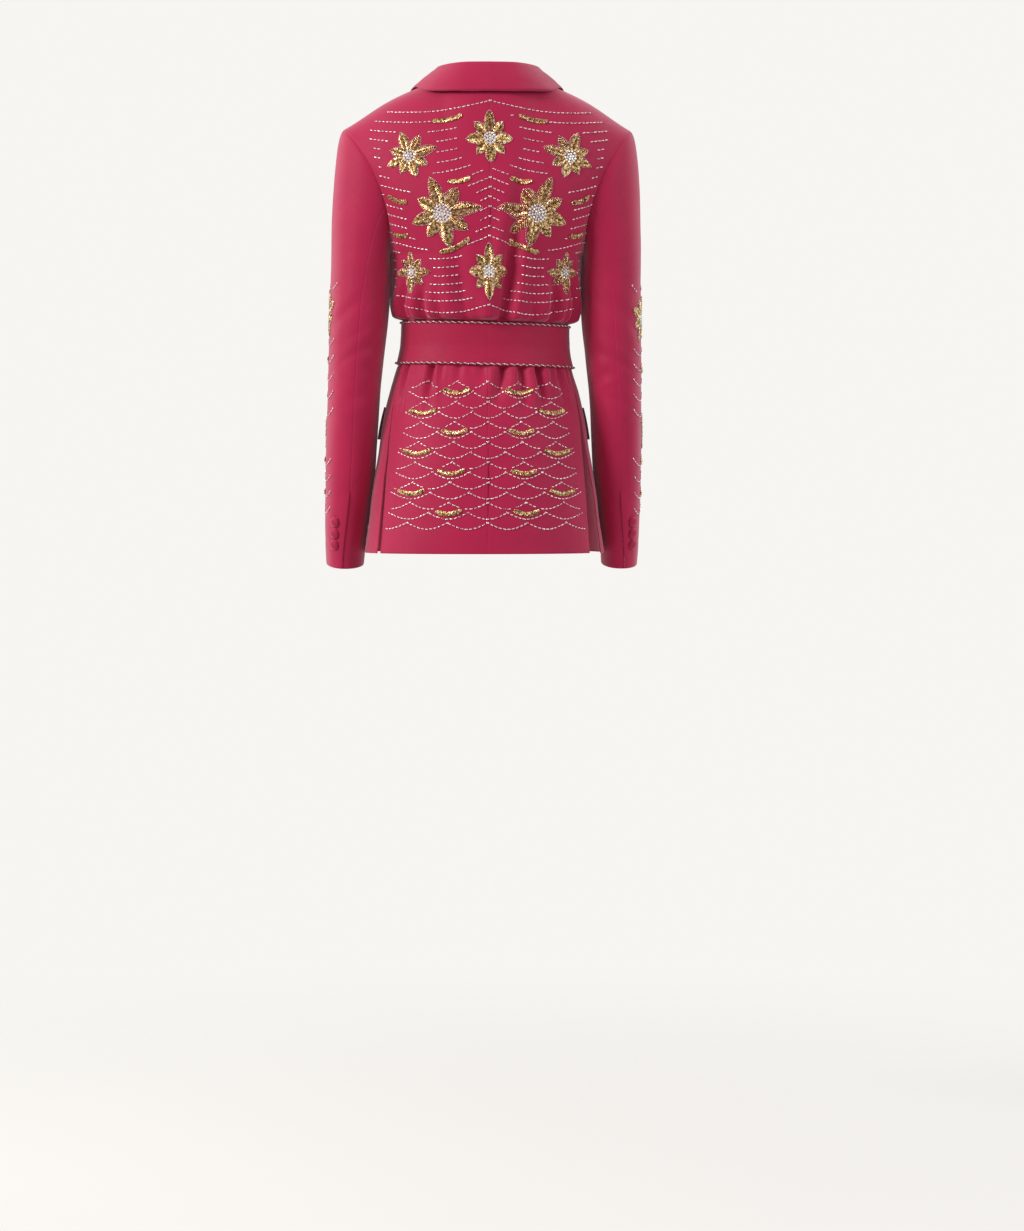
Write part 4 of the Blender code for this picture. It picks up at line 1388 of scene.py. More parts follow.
@dataclass(frozen=True)
class Belt:
    """Wide belt round the waist, its right end lapped over the left."""

    torso: Torso
    thickness: float = 0.0028
    shell_share: float = 0.8
    clearance: float = 0.0006
    lap: float = 13.0
    lap_from: float = -130.0
    lap_ramp: float = 36.0
    step_out: float = 0.0035
    degree: float = 0.0022
    unevenness: tuple[float, float] = (0.0004, 0.0002)
    press: float = 0.0002
    rows: int = 26
    columns: int = 420
    cut: Cut = Cut(0.065, 0.79, 0.0505, Hold.STRETCHED, ("back_left_cloth", "back_right_cloth"))

    @property
    def outer(self) -> float:
        """Distance of the belt's outer face from the cloth under it."""
        return self.clearance + self.thickness

    def point(self, turn: float, z: float, out: float) -> Vector:
        """Point round the belt, in degrees from the middle of the back to the left and on."""
        half_width, back, front, fullness = self.torso.sections
        beside = squared_cosine(turn, fullness(z))
        far = back(z) if beside >= 0 else -front(z)
        x = (half_width(z) + out) * squared_sine(turn, fullness(z))
        return Vector((x, (far + out) * beside, z))

    def face(self, turn: float, z: float, lift: float = 0.0) -> Vector:
        """Point of the outer face, stepped out where the right end laps over."""
        lapped = self.step_out * ease((self.lap_from - turn) / self.lap_ramp)
        return self.point(turn, z, self.outer + lapped + lift)

    def relief(self, turn: float, z: float, up: float) -> float:
        """Folded edges, the seam at the middle of the back and a slight unevenness."""
        edge = min(up, 1 - up) * (BELT_TOP_Z - BELT_BOTTOM_Z)
        point = self.face(turn, z)
        flat = Vector((point.x, point.y, point.z * 5))
        slow, fine = self.unevenness
        lift = BELT_FOLD.dip(edge) + BELT_SEAM.dip(abs(turn) * self.degree)
        lift += slow * ripple(point, 22.0, 40.0) + fine * ripple(flat, 30.0, 44.0)
        return lift - self.press

    def build(self, wardrobe: Wardrobe) -> Piece:
        """Make the belt."""
        end = 180.0 + self.lap
        turns = [between(-end, end, share) for share in even_shares(self.columns)]
        grid = []
        for up in even_shares(self.rows):
            z = between(BELT_BOTTOM_Z, BELT_TOP_Z, up)
            grid.append([self.face(turn, z, self.relief(turn, z, up)) for turn in turns])
        wall, outward = self.thickness * self.shell_share, Vector((0, -1, 0))
        return sewn_cloth("belt", grid, wardrobe, outward, wall, self.cut, BELT_CREPE)


# Rings of a tube bead: place along its length, share of its radius
TUBE_RINGS = ((-0.5, 0.70), (-0.40, 1.0), (0.40, 1.0), (0.5, 0.70))
TUBE_SIDES = 6
# Rings of a stone in shares of its radius: height and width, and share of a side it is turned
STONE_RINGS = ((-0.2, 0.8, 0.0), (0.12, 1.0, 0.0), (0.55, 0.55, 0.5))
STONE_SIDES = 8
# Edges of a bead that turn by more degrees than this stay sharp
SHARP_EDGE = 62.0


@dataclass
class RingMesh:
    """Rings of vertices, joined into closed forms and gathered into one mesh."""

    name: str
    vertices: list[Vector] = field(default_factory=list, kw_only=True)
    faces: list[tuple[int, ...]] = field(default_factory=list, kw_only=True)

    def ring(self, centre: Vector, across: Vector, beside: Vector, radius: float, sides: int,
             twist: float = 0.0) -> list[int]:
        """Add a ring of vertices.

        Args:
            centre: its middle.
            across: direction of its first vertex.
            beside: direction a quarter turn on.
            radius: its radius.
            sides: number of its vertices.
            twist: share of a side by which it is turned.

        Returns:
            The numbers of its vertices.
        """
        start = len(self.vertices)
        for i in range(sides):
            angle = 2 * math.pi * (i + twist) / sides
            right, up = across * radius * math.cos(angle), beside * radius * math.sin(angle)
            self.vertices.append(centre + right + up)
        return list(range(start, start + sides))

    def bridge(self, lower: Sequence[int], upper: Sequence[int]) -> None:
        """Join two rings by a band of faces."""
        count = len(lower)
        for i in range(count):
            j = (i + 1) % count
            self.faces.append((lower[i], lower[j], upper[j], upper[i]))

    def tube(self, rings: Sequence[Sequence[int]]) -> None:
        """Join rings one after another and close both ends."""
        for lower, upper in zip(rings, rings[1:]):
            self.bridge(lower, upper)
        self.faces.append(tuple(reversed(rings[0])))
        self.faces.append(tuple(rings[-1]))

    def make(self, material: Material) -> Piece:
        """Turn what was gathered into one object."""
        mesh = bpy.data.meshes.new(self.name)
        mesh.from_pydata([tuple(v) for v in self.vertices], [], self.faces)
        mesh.materials.append(material)
        obj = bpy.data.objects.new(self.name, mesh)
        bpy.context.scene.collection.objects.link(obj)
        return obj


@dataclass
class Beads(RingMesh):
    """Beads of one kind, gathered into one mesh."""

    finish: BeadFinish

    def bugle(self, centre: Vector, along: Vector, out: Vector, length: float,
              radius: float) -> None:
        """Add a tube bead.

        Args:
            centre: its middle.
            along: its axis.
            out: away from the cloth.
            length: its length.
            radius: its radius.
        """
        along = along.normalized()
        across = out.cross(along).normalized()
        up = along.cross(across)
        self.tube([self.ring(centre + along * length * share, across, up, radius * size, TUBE_SIDES)
                   for share, size in TUBE_RINGS])

    def seed(self, centre: Vector, along: Vector, out: Vector, radius: float) -> None:
        """Add a small round bead, strung along its axis."""
        self.bugle(centre, along, out, radius * 1.5, radius)

    def gem(self, centre: Vector, out: Vector, radius: float) -> None:
        """Add a faceted stone with a flat table, set with its back on the cloth."""
        across = out.orthogonal().normalized()
        beside = out.cross(across)
        base, girdle, table = (
            self.ring(centre + out * radius * up, across, beside, radius * wide, STONE_SIDES, twist)
            for up, wide, twist in STONE_RINGS
        )
        self.faces.append(tuple(reversed(base)))
        self.bridge(base, girdle)
        self.bridge(girdle, table)
        self.faces.append(tuple(table))

    def build(self, wardrobe: Wardrobe, smooth: bool = True) -> Piece:
        """Turn the gathered beads into one piece.

        Args:
            wardrobe: where the finish is kept.
            smooth: whether the beads are round, not cut.

        Returns:
            The piece.
        """
        obj = self.make(wardrobe.take(self.finish))
        if smooth:
            obj.data.shade_smooth()
            obj.data.set_sharp_from_angle(angle=math.radians(SHARP_EDGE))
        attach(obj, "root")
        self.finish.slot or self.finish.name
        return obj


@dataclass(frozen=True)
class BeltEdging:
    """Twisted rope of beads sewn along both edges of the belt."""

    belt: Belt
    inset: float = 0.0021
    rope_radius: float = 0.00075
    bead_radius: float = 0.00072
    pitch: float = 0.0020
    bead_share: float = 0.92
    twist_length: float = 0.0098
    seat: float = -0.0004
    lap: float = 12.5
    turn: float = 357.5
    steps: int = 700

    def line(self, z: float) -> list[Vector]:
        """Points of the rope's middle line, once round the belt."""
        start = -180.0 - self.lap
        lift = self.seat + self.rope_radius + self.bead_radius
        turns = (start + self.turn * i / self.steps for i in range(self.steps + 1))
        return [settle(self.belt.face(turn, z, lift)) for turn in turns]

    def walk(self, line: Sequence[Vector]) -> Iterator[tuple[float, Vector, Vector, Vector]]:
        """Walk the middle line at the beads' pitch.

        Args:
            line: its points.

        Yields:
            The distance walked, the point, the line's direction and the way out of the belt.
        """
        travelled = [0.0]
        for before, after in zip(line, line[1:]):
            travelled.append(travelled[-1] + (after - before).length)
        for i in range(int(travelled[-1] / self.pitch)):
            at = i * self.pitch
            k = min(len(line) - 2, bisect.bisect_right(travelled, at) - 1)
            share = (at - travelled[k]) / (travelled[k + 1] - travelled[k])
            here = line[k].lerp(line[k + 1], share)
            along = (line[k + 1] - line[k]).normalized()
            out = UP.cross(along).normalized()
            if out.dot(Vector((here.x, here.y, 0))) < 0:
                out.negate()
            yield at, here, along, out

    def build(self, wardrobe: Wardrobe) -> Iterator[Piece]:
        """Make the two ropes."""
        steepness = 2 * math.pi * self.rope_radius / self.twist_length
        length = self.pitch * self.bead_share
        for name, z in (("belt_edging_upper", BELT_TOP_Z - self.inset),
                        ("belt_edging_lower", BELT_BOTTOM_Z + self.inset)):
            beads = Beads(f"{name}_beads", SILVER)
            shaded_strand = Beads(f"{name}_thread", STRAND_PAINTED_SHADE)
            for at, here, along, out in self.walk(self.line(z)):
                # Silver beads on one side of the twist, and on the other a strand of belt crepe
                # coloured as painted shade
                for strand, turned in ((beads, 0.0), (shaded_strand, math.pi)):
                    angle = 2 * math.pi * at / self.twist_length + turned
                    offset = out * math.cos(angle) + UP * math.sin(angle)
                    slope = UP * math.cos(angle) - out * math.sin(angle)
                    spot = here + offset * self.rope_radius
                    strand.bugle(spot, along + slope * steepness, offset, length, self.bead_radius)
            for strand in (beads, shaded_strand):
                obj = strand.build(wardrobe)
                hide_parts(name)
                yield obj


@dataclass(frozen=True)
class CuffButtons:
    """Three cloth-covered buttons beside each cuff vent."""

    arm: Arm
    heights: tuple[float, ...] = (-0.6530, -0.6700, -0.6870)
    turn: float = 58.0
    turn_step: float = 4.0
    height_step: float = 0.006
    radius: float = 0.0078
    height: float = 0.0048
    stand: float = 0.0004
    sides: int = 28
    narrowest: float = 0.02
    # Rings of a button from its back to its crown: share of the radius, share of the height
    outline: tuple[tuple[float, float], ...] = (
        (0.40, 0.0), (0.70, 0.02), (0.88, 0.06), (0.97, 0.13), (1.0, 0.24), (0.985, 0.36),
        (0.90, 0.56), (0.75, 0.76), (0.55, 0.90), (0.30, 0.975), (0.0, 1.0),
    )

    def seat(self, side: Side, z: float) -> tuple[Vector, Vector]:
        """Find where a button is sewn on, and the way out of the sleeve there."""
        here = settle(self.arm.place(side, self.turn, z))
        beside = settle(self.arm.place(side, self.turn + self.turn_step, z))
        below = settle(self.arm.place(side, self.turn, z - self.height_step))
        out = (beside - here).cross(below - here).normalized()
        if out.x * side.value < 0:
            out.negate()
        return here, out

    def button(self, name: str, here: Vector, out: Vector, material: Material) -> Piece:
        """Make one button as a turned dome whose cloth is gathered in under its rim.

        Args:
            name: the button's name.
            here: where it is sewn on.
            out: away from the sleeve.
            material: its cloth.

        Returns:
            The button.
        """
        dome = RingMesh(name)
        across = out.orthogonal().normalized()
        beside = out.cross(across)
        rings = []
        for wide, up in self.outline:
            centre = here + out * (self.stand + up * self.height)
            radius = max(wide, self.narrowest) * self.radius
            rings.append(dome.ring(centre, across, beside, radius, self.sides))
        dome.tube(rings)
        obj = dome.make(material)
        obj.data.shade_smooth()
        return obj

    def build(self, wardrobe: Wardrobe) -> Iterator[Piece]:
        """Make all six buttons."""
        for side in Side:
            for number, z in enumerate(self.heights, start=1):
                node = f"cuff_button_{side.label}_{number}"
                obj = self.button(f"{node}_covered", *self.seat(side, z), wardrobe.take(CREPE))
                sew_in(obj, "crepe", (node,))
                yield obj


@dataclass(frozen=True)
class BeadSet:
    """Silver beads, gold beads and stones of one part of the jacket."""

    silver: Beads
    gold: Beads
    stones: Beads

    @classmethod
    def start(cls, part: str) -> "BeadSet":
        """Start the three kinds for one part of the jacket."""
        return cls(Beads(f"beads_silver_{part}", SILVER), Beads(f"beads_gold_{part}", GOLD_WITH_PAINTED_LIGHT),
                   Beads(f"crystals_{part}", CRYSTAL))

    def build(self, wardrobe: Wardrobe) -> Iterator[Piece]:
        """Turn the three kinds into pieces."""
        yield self.silver.build(wardrobe)
        yield self.gold.build(wardrobe)
        yield self.stones.build(wardrobe, smooth=False)


class Patch:
    """Part of a ground, measured right and up from its middle."""

    def __init__(self, ground: Ground, place: Place) -> None:
        """Find the ways right and up along the cloth.

        Args:
            ground: the surface.
            place: the patch's middle.
        """
        self.ground = ground
        self.place = place
        self.centre, along_u, along_v, out = ground.axes(*place)
        right = along_u.normalized()
        up = out.cross(right).normalized()
        if up.z < 0:
            up.negate()
        across = (along_u.dot(right), along_v.dot(right))
        upward = (along_u.dot(up), along_v.dot(up))
        self.to_place = Matrix((across, upward)).inverted()

    def seat(self, spot: Vector) -> tuple[Vector, Vector]:
        """Point of the cloth and its normal at a distance right and up from the middle."""
        du, dv = self.to_place @ spot
        here, _, _, normal = self.ground.axes(self.place[0] + du, self.place[1] + dv)
        return here, normal


@dataclass(frozen=True)
class Rosette:
    """Regular eight-petal flower of gold tube beads round a cluster of stones."""

    radius: float
    turned: float = 0.0
    petals: int = 8
    heart: float = 0.30
    heart_lap: float = 0.92
    short_petal: float = 0.80
    breadth: float = 0.185
    narrowest: float = 0.0010
    point_room: float = 0.0018

    def reach(self, petal: int) -> float:
        """Distance of a petal's tip from the middle: every other petal is shorter."""
        return self.radius * (1.0 if petal % 2 == 0 else self.short_petal)

    def half_width(self, share: float) -> float:
        """Half of a petal's width at a share of its length."""
        bulge = math.sin(math.pi * min(1.0, 0.18 + 0.82 * share)) ** 0.62
        return max(self.radius * self.breadth * bulge * (1 - 0.12 * share), self.narrowest)


def scallop(start: Place, end: Place, sag: float, steps: int = 14) -> list[Place]:
    """Points of a swag that hangs between two points."""
    return [(between(start[0], end[0], i / steps),
             between(start[1], end[1], i / steps) - sag * math.sin(math.pi * i / steps))
            for i in range(steps + 1)]


@dataclass
class Beadwork:
    """Hand-sewn swags, bars and rosettes over the cloth.

    Every placing goes through a ground, so that the beads lie on the cloth's folds.
    """

    torso: Torso
    arm: Arm
    seed: int = 7
    dash_length: float = 0.0044
    dash_pitch: float = 0.0066
    dash_radius: float = 0.00078
    dash_lean: float = 0.22
    tube_radius: float = 0.00094
    row_pitch: float = 0.00215
    # How far a petal's tubes slant outward at least and by chance, and how far they splay
    tube_slant: tuple[float, float] = (0.0011, 0.0006)
    tube_splay: float = 0.002
    tube_share: float = 1.16
    seed_radius: float = 0.00060
    rim_radius: float = 0.00062
    rim_pitch: float = 0.0019
    rim_room: float = 0.0009
    stone_radius: float = 0.0021
    stone_lean: float = 0.16
    clear: float = 0.006
    bar_width: float = 0.0074
    bar_steps: int = 6
    bar_lean: tuple[float, float] = (0.35, 0.12)
    bar_taper: float = 0.72
    bar_room: float = 0.0012
    back_bar_width: float = 0.0076
    back_bar_sag: float = 0.003
    back_rows: int = 22
    back_sag: tuple[float, float] = (0.008, 0.012)
    back_steps: int = 20
    back_inner: tuple[float, float] = (-0.038, -0.338)
    back_outer: tuple[float, float] = (-0.052, -0.338)
    skirt_rows: int = 15
    skirt_top: float = -0.452
    skirt_step: float = 0.0148
    skirt_reach: float = 0.112
    skirt_spread: float = 0.0025
    skirt_cups: int = 3
    skirt_sag: float = 0.0095
    skirt_bar_half: float = 0.019
    skirt_bar_rise: float = 0.0030
    skirt_bar_sag: float = 0.0052
    right_shift: float = 16.0
    sleeve_sag: float = 0.012
    # First place of a sleeve's bar in degrees, its steps in degrees and in height, their number
    sleeve_bar: tuple[float, float, float, int] = (-20.0, 3.5, 0.001, 8)
    chest_sag: float = 0.005
    chest_rise: float = 0.004
    hip_sag: float = 0.009
    keep_out: list[tuple[Vector, float]] = field(default_factory=list)

    def __post_init__(self) -> None:
        """Start the hand-sewn unevenness the same way each time."""
        self.chance = random.Random(self.seed)

    def body_ground(self, side: Side, face: Face) -> Ground:
        """Ground of one half of the body's back or front."""
        return Ground(lambda u, v, lift: settle(self.torso.place(side, face, u, v, lift)))

    def sleeve_ground(self, side: Side) -> Ground:
        """Ground of one sleeve below its head."""
        return Ground(lambda u, v, lift: settle(self.arm.place(side, u, v, lift)))

    def trace(self, ground: Ground, places: Sequence[Place],
              pitch: float) -> Iterator[tuple[Vector, Vector, Vector]]:
        """Walk a line of places at an even pitch.

        Args:
            ground: the surface.
            places: the line's places.
            pitch: distance between beads.

        Yields:
            The point, the line's direction and the outward normal of each bead.
        """
        owed = 0.0
        for (u0, v0), (u1, v1) in zip(places, places[1:]):
            start, end = ground.at(u0, v0, 0.0), ground.at(u1, v1, 0.0)
            length = (end - start).length
            while owed < length:
                share = owed / length
                here, _, _, out = ground.axes(between(u0, u1, share), between(v0, v1, share))
                yield here, (end - start).normalized(), out
                owed += pitch
            owed -= length

    def swag(self, silver: Beads, ground: Ground, places: Sequence[Place]) -> None:
        """Sew a line of silver dashes, leaving out the ones under a rosette or a bar."""
        for here, along, out in self.trace(ground, places, self.dash_pitch):
            if any((here - centre).length < reach + self.clear for centre, reach in self.keep_out):
                continue
            lay = along + out.cross(along) * self.chance.uniform(-self.dash_lean, self.dash_lean)
            length = self.dash_length * self.chance.uniform(0.85, 1.12)
            radius = self.dash_radius * self.chance.uniform(0.9, 1.15)
            silver.bugle(here + out * self.dash_radius * 0.8, lay, out, length, radius)

    def bar(self, kit: BeadSet, ground: Ground, places: Sequence[Place], width: float) -> None:
        """Sew a bar of gold tubes laid across its length, with small silver beads on it.

        Args:
            kit: where the beads go.
            ground: the surface.
            places: the bar's middle line.
            width: the bar's width.
        """
        walked = list(self.trace(ground, places, self.row_pitch))
        lean, unevenness = self.bar_lean
        for k, (here, along, out) in enumerate(walked):
            self.keep_out.append((here, width / 2 + self.bar_room - self.clear))
            lay = out.cross(along) + along * (lean + self.chance.uniform(-unevenness, unevenness))
            taper = self.bar_taper if k in (0, len(walked) - 1) else 1.0
            length = width * taper * self.chance.uniform(0.9, 1.05)
            kit.gold.bugle(here + out * self.tube_radius, lay, out, length, self.tube_radius)
            if k % 3 == 0:
                on_top = here + out * self.tube_radius * 2.1
                aside = out.cross(along) * width * self.chance.uniform(-0.3, 0.3)
                kit.silver.seed(on_top + aside, along, out, self.seed_radius)

    def rim(self, silver: Beads, patch: Patch, points: Sequence[Vector]) -> None:
        """Sew small silver beads along a line of points of a patch."""
        for start, end in zip(points, points[1:]):
            pieces = max(1, round((end - start).length / self.rim_pitch))
            for k in range(pieces):
                spot = start.lerp(end, k / pieces)
                here, normal = patch.seat(spot)
                ahead, _ = patch.seat(spot + (end - start).normalized() * 0.001)
                on_top = here + normal * self.seed_radius
                silver.seed(on_top, ahead - here, normal, self.rim_radius)

    def petal(self, kit: BeadSet, patch: Patch, shape: Rosette, number: int) -> None:
        """Sew one petal: slanting pairs of gold tubes inside a silver rim.

        Args:
            kit: where its beads go.
            patch: the cloth round the rosette's middle.
            shape: the rosette's sizes.
            number: which petal it is.
        """
        angle = 2 * math.pi * (number + shape.turned) / shape.petals + math.pi / 2
        axis = Vector((math.cos(angle), math.sin(angle)))
        cross = Vector((-axis.y, axis.x))
        reach = shape.reach(number)
        heart = shape.radius * shape.heart
        rows = int((reach - heart) / self.row_pitch)
        edge = []
        for k in range(rows + 1):
            middle = axis * between(heart * shape.heart_lap, reach, k / rows)
            half = shape.half_width(k / rows)
            edge.append(middle + cross * (half + self.rim_room))
            for hand in (-1, 1):
                spot = middle + cross * hand * half * 0.5
                here, normal = patch.seat(spot)
                slant = axis * (self.tube_slant[0] + self.tube_slant[1] * self.chance.random())
                tip, _ = patch.seat(spot + cross * hand * self.tube_splay + slant)
                radius = self.tube_radius * self.chance.uniform(0.88, 1.1)
                on_top = here + normal * self.tube_radius
                kit.gold.bugle(on_top, tip - here, normal, half * self.tube_share, radius)
        other_edge = [point - cross * 2 * point.dot(cross) for point in reversed(edge)]
        self.rim(kit.silver, patch, [*edge, axis * (reach + shape.point_room), *other_edge])

    def heart(self, stones: Beads, patch: Patch, radius: float) -> None:
        """Set rings of stones round the middle of a patch."""
        stone, most = self.stone_radius, self.stone_lean
        rounds = max(1, int(radius / (stone * 2.05)))
        for ring in range(rounds + 1):
            count = max(1, ring * 6)
            distance = ring * stone * 2.0
            for k in range(count):
                angle = 2 * math.pi * (k + 0.5 * (ring % 2)) / count
                spot = Vector((distance * math.cos(angle), distance * math.sin(angle)))
                here, normal = patch.seat(spot)
                lean = Vector([self.chance.uniform(-most, most) for _ in range(3)])
                stones.gem(here + normal * stone * 0.35, (normal + lean).normalized(), stone)

    def rosette(self, kit: BeadSet, ground: Ground, place: Place, shape: Rosette) -> None:
        """Sew one rosette.

        Args:
            kit: where its beads go.
            ground: the surface.
            place: its middle.
            shape: its sizes.
        """
        patch = Patch(ground, place)
        self.keep_out.append((patch.centre, shape.radius))
        for number in range(shape.petals):
            self.petal(kit, patch, shape, number)
        self.heart(kit.stones, patch, shape.radius * shape.heart)

    def back_places(self, side: Side, points: Sequence[Place]) -> list[Place]:
        """Angles and rows of points given by distance and true height on the back."""
        return [self.torso.find(side, Face.BACK, x, z) for x, z in points]

    def dress_back(self, wardrobe: Wardrobe) -> Iterator[Piece]:
        """Sew the back above and below the belt."""
        kit = BeadSet.start("back")
        grounds = {side: self.body_ground(side, Face.BACK) for side in Side}
        for x, z, radius in BACK_ROSETTES:
            for side in tuple(Side) if x else (Side.LEFT,):
                place = self.torso.find(side, Face.BACK, x, z)
                self.rosette(kit, grounds[side], place, Rosette(radius))
        for side in Side:
            for start, end in BACK_BARS:
                points = scallop(start, end, self.back_bar_sag, self.bar_steps)
                line = self.back_places(side, points)
                self.bar(kit, grounds[side], line, self.back_bar_width)
        reach = profiles(BACK_SWAG_REACH)[0]
        for side in Side:
            for row in range(self.back_rows):
                share = row / (self.back_rows - 1)
                inner, outer = between(*self.back_inner, share), between(*self.back_outer, share)
                sag = self.back_sag[0] + self.back_sag[1] * math.sin(math.pi * share)
                line = scallop((0.0, inner), (reach(outer), outer), sag, self.back_steps)
                self.swag(kit.silver, grounds[side], self.back_places(side, line))
        self.dress_skirt(kit, grounds)
        yield from kit.build(wardrobe)

    def skirt_lines(self) -> list[tuple[float, float, float]]:
        """Height, reach and first cup of the skirt's rows, each half a cup beside the next."""
        return [(self.skirt_top - self.skirt_step * row, self.skirt_reach + self.skirt_spread * row,
                 -0.5 * (row % 2)) for row in range(self.skirt_rows)]

    def dress_skirt(self, kit: BeadSet, grounds: dict[Side, Ground]) -> None:
        """Sew the skirt's scalloped rows, with bars in some of their cups."""
        lines = self.skirt_lines()
        full_cups = self.skirt_cups - 0.5
        for side in Side:
            for row, (z, reach, first) in enumerate(lines):
                for i in range(self.skirt_cups):
                    if (row % 4, i) in SKIRT_BAR_CUPS:
                        middle = reach / full_cups * (first + i + 0.5)
                        height = z + self.skirt_bar_rise
                        start = (middle - self.skirt_bar_half, height)
                        end = (middle + self.skirt_bar_half, height)
                        bar = scallop(start, end, self.skirt_bar_sag, self.bar_steps)
                        self.bar(kit, grounds[side], self.back_places(side, bar), self.bar_width)
        for side in Side:
            for z, reach, first in lines:
                cup = reach / full_cups
                for i in range(self.skirt_cups):
                    ends = (cup * (first + i), z), (cup * (first + i + 1), z)
                    line = [(x, height) for x, height in scallop(*ends, self.skirt_sag)
                            if -0.0001 < x < reach + 0.0001]
                    self.swag(kit.silver, grounds[side], self.back_places(side, line))

    def dress_sleeves(self, wardrobe: Wardrobe) -> Iterator[Piece]:
        """Sew rosettes, swags and bars down the outer side of each sleeve."""
        for side in Side:
            kit = BeadSet.start(f"sleeve_{side.label}")
            ground = self.sleeve_ground(side)
            shift = self.right_shift if side is Side.RIGHT else 0.0
            for turn, z, radius in SLEEVE_ROSETTES:
                self.rosette(kit, ground, (turn + shift, z), Rosette(radius, turned=0.5))
            for z in SLEEVE_SWAG_ROWS:
                for first, last in SLEEVE_SWAG_SPANS:
                    places = scallop((first + shift, z), (last + shift, z), self.sleeve_sag)
                    self.swag(kit.silver, ground, places)
            turn, round_arm, upward, count = self.sleeve_bar
            for z in SLEEVE_BAR_ROWS:
                places = [(turn + shift + round_arm * i, z + upward * i) for i in range(count)]
                self.bar(kit, ground, places, self.bar_width)
            yield from kit.build(wardrobe)

    def chest_span(self, z: float) -> tuple[float, float]:
        """Distances from the middle between which a swag hangs on the chest, clear of the lapel."""
        inner = 0.128 + 0.010 * ease((-0.12 - z) / 0.04) - 0.55 * max(0.0, -0.16 - z)
        return inner, 0.160 - 0.16 * max(0.0, -0.15 - z)

    def dress_fronts(self, wardrobe: Wardrobe) -> Iterator[Piece]:
        """Sew plain silver swags on both fronts."""
        for side in Side:
            silver = Beads(f"beads_silver_front_{side.label}", SILVER)
            ground = self.body_ground(side, Face.FRONT)
            for z in CHEST_SWAG_ROWS:
                inner, outer = self.chest_span(z)
                line = scallop((inner, z), (outer, z + self.chest_rise), self.chest_sag)
                places = [self.torso.find(side, Face.FRONT, x, height) for x, height in line]
                self.swag(silver, ground, places)
            for z in HIP_SWAG_ROWS:
                for first, last in HIP_SWAG_SPANS:
                    line = scallop((first, z), (last, z), self.hip_sag)
                    places = [(self.torso.turn_at(x, height), height) for x, height in line]
                    self.swag(silver, ground, places)
            yield silver.build(wardrobe)


# Where the lights are aimed
LIGHTS_AIM = (0.0, 0.0, -0.4)


def aimed(place: Sequence[float], target: Sequence[float]) -> Euler:
    """Rotation that turns a light or the camera at a place toward a target."""
    return (Vector(target) - Vector(place)).to_track_quat("-Z", "Y").to_euler()


@dataclass(frozen=True)
class SoftLight:
    """Square soft light aimed at the jacket."""

    name: str
    place: tuple[float, float, float]
    size: float
    power: float
    color: Color

    def build(self) -> None:
        """Set up the light."""
        light = bpy.data.lights.new(self.name, "AREA")
        light.shape = "SQUARE"
        light.size = self.size
        light.energy = self.power
        light.color = self.color
        obj = bpy.data.objects.new(self.name, light)
        obj.location = self.place
        obj.rotation_euler = aimed(self.place, LIGHTS_AIM)
        bpy.context.scene.collection.objects.link(obj)


STUDIO_LIGHTS = (
    SoftLight("light_main", (4.7, 2.5, 2.3), 2.0, 290.0, (1.0, 0.98, 0.95)),
    SoftLight("light_fill", (-4.0, 2.8, 1.6), 3.0, 90.0, (0.96, 0.98, 1.0)),
    SoftLight("light_rim_left", (4.0, -2.6, 1.6), 3.0, 105.0, (1.0, 0.99, 0.97)),
    SoftLight("light_rim_right", (-4.0, -2.6, 2.4), 3.0, 105.0, (0.98, 0.99, 1.0)),
)


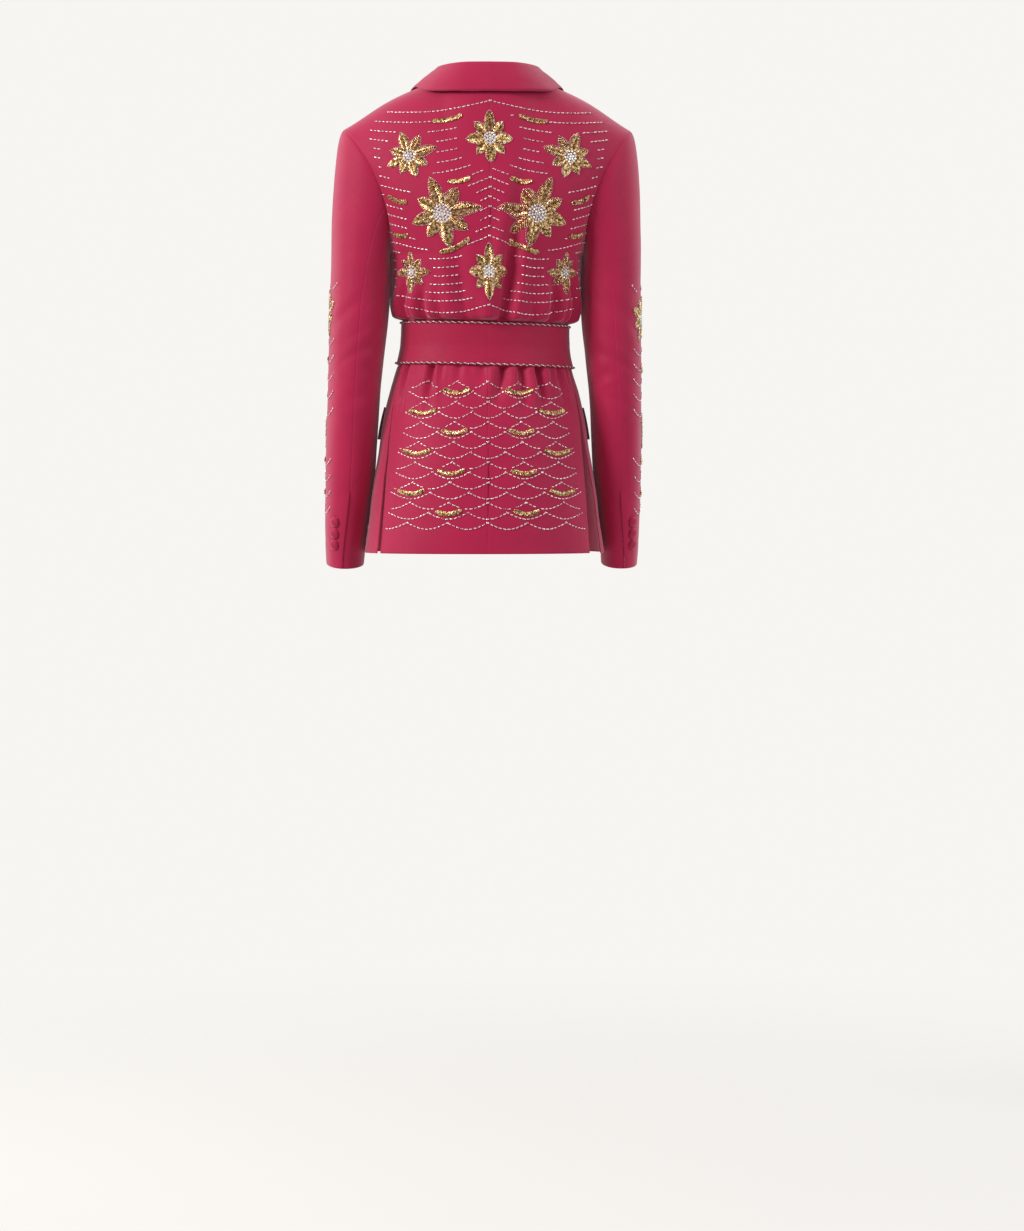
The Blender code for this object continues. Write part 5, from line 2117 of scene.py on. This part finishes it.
@dataclass(frozen=True)
class Studio:
    """Pale floor, soft light from the upper left behind the camera, and the camera."""

    floor_z: float = -1.62
    floor_radius: float = 7.0
    floor_color: Color = (0.74, 0.73, 0.715)
    floor_fade: tuple[float, float] = (0.2, 2.4)
    pale: Color = (0.93, 0.915, 0.885)
    ambient: float = 0.47
    lens: float = 78.0
    sensor: float = 24.0
    camera_at: tuple[float, float, float] = (0.278, 5.994, -0.58)
    aim: tuple[float, float, float] = (-0.036, 0.002, -0.80)

    def floor(self) -> None:
        """Make the floor, which fades into the pale surroundings far from the jacket."""
        bm = bmesh.new()
        bmesh.ops.create_circle(bm, cap_ends=True, segments=96, radius=self.floor_radius)
        mesh = bpy.data.meshes.new("studio_floor")
        bm.to_mesh(mesh)
        bm.free()
        shader = Shader("studio_floor", 0.85)
        shader.principled.inputs["Base Color"].default_value = (*self.floor_color, 1.0)
        tree = shader.tree
        length = tree.nodes.new("ShaderNodeVectorMath")
        length.operation = "LENGTH"
        tree.links.new(shader.position, length.inputs[0])
        fade = tree.nodes.new("ShaderNodeMapRange")
        fade.interpolation_type = "SMOOTHSTEP"
        fade.inputs["From Min"].default_value = self.floor_fade[0]
        fade.inputs["From Max"].default_value = self.floor_fade[1]
        fade.inputs["To Min"].default_value = 1.0
        fade.inputs["To Max"].default_value = 0.0
        tree.links.new(length.outputs["Value"], fade.inputs["Value"])
        shader.feed("Alpha", fade.outputs["Result"])
        mesh.materials.append(shader.material)
        obj = bpy.data.objects.new("studio_floor", mesh)
        obj.location = (0.0, 0.0, self.floor_z)
        bpy.context.scene.collection.objects.link(obj)

    def surroundings(self) -> None:
        """Set the pale surroundings: bright where they are seen, softer where they light."""
        world = bpy.data.worlds.new("studio")
        world.use_nodes = True
        bpy.context.scene.world = world
        tree = world.node_tree
        background = tree.nodes["Background"]
        background.inputs["Color"].default_value = (*self.pale, 1.0)
        path = tree.nodes.new("ShaderNodeLightPath")
        level = tree.nodes.new("ShaderNodeMapRange")
        level.inputs["To Min"].default_value = self.ambient
        level.inputs["To Max"].default_value = 1.0
        tree.links.new(path.outputs["Is Camera Ray"], level.inputs["Value"])
        tree.links.new(level.outputs["Result"], background.inputs["Strength"])

    def camera(self) -> None:
        """Make the camera at the photograph's viewing angle."""
        data = bpy.data.cameras.new("camera")
        data.sensor_fit = "VERTICAL"
        data.sensor_height = self.sensor
        data.lens = self.lens
        obj = bpy.data.objects.new("camera", data)
        obj.location = self.camera_at
        obj.rotation_euler = aimed(self.camera_at, self.aim)
        bpy.context.scene.collection.objects.link(obj)
        bpy.context.scene.camera = obj

    def build(self) -> None:
        """Set up the whole studio."""
        bpy.context.scene.view_settings.view_transform = "Standard"
        self.surroundings()
        self.floor()
        for light in STUDIO_LIGHTS:
            light.build()
        self.camera()


def report(pieces: Iterable[Piece]) -> None:
    """Log the faces of each piece as it is made."""
    for obj in pieces:
        LOG.info("%s: %d faces", obj.name, len(obj.data.polygons))


def main() -> None:
    """Dress the jacket piece by piece, then light it."""
    logging.basicConfig(level=logging.INFO, format="%(message)s")
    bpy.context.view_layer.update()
    wardrobe = Wardrobe()
    torso = Torso()
    arm = Arm(torso)
    belt = Belt(torso)
    report(BodyPanels(torso).build(wardrobe))
    report(Sleeves(arm).build(wardrobe))
    report([Collar().build(wardrobe), belt.build(wardrobe)])
    report(Lapels(torso).build(wardrobe))
    report(PocketFlaps(torso).build(wardrobe))
    report(CuffButtons(arm).build(wardrobe))
    report(BeltEdging(belt).build(wardrobe))
    beadwork = Beadwork(torso, arm)
    report(beadwork.dress_back(wardrobe))
    report(beadwork.dress_sleeves(wardrobe))
    report(beadwork.dress_fronts(wardrobe))
    Studio().build()


if __name__ == "__main__":
    main()
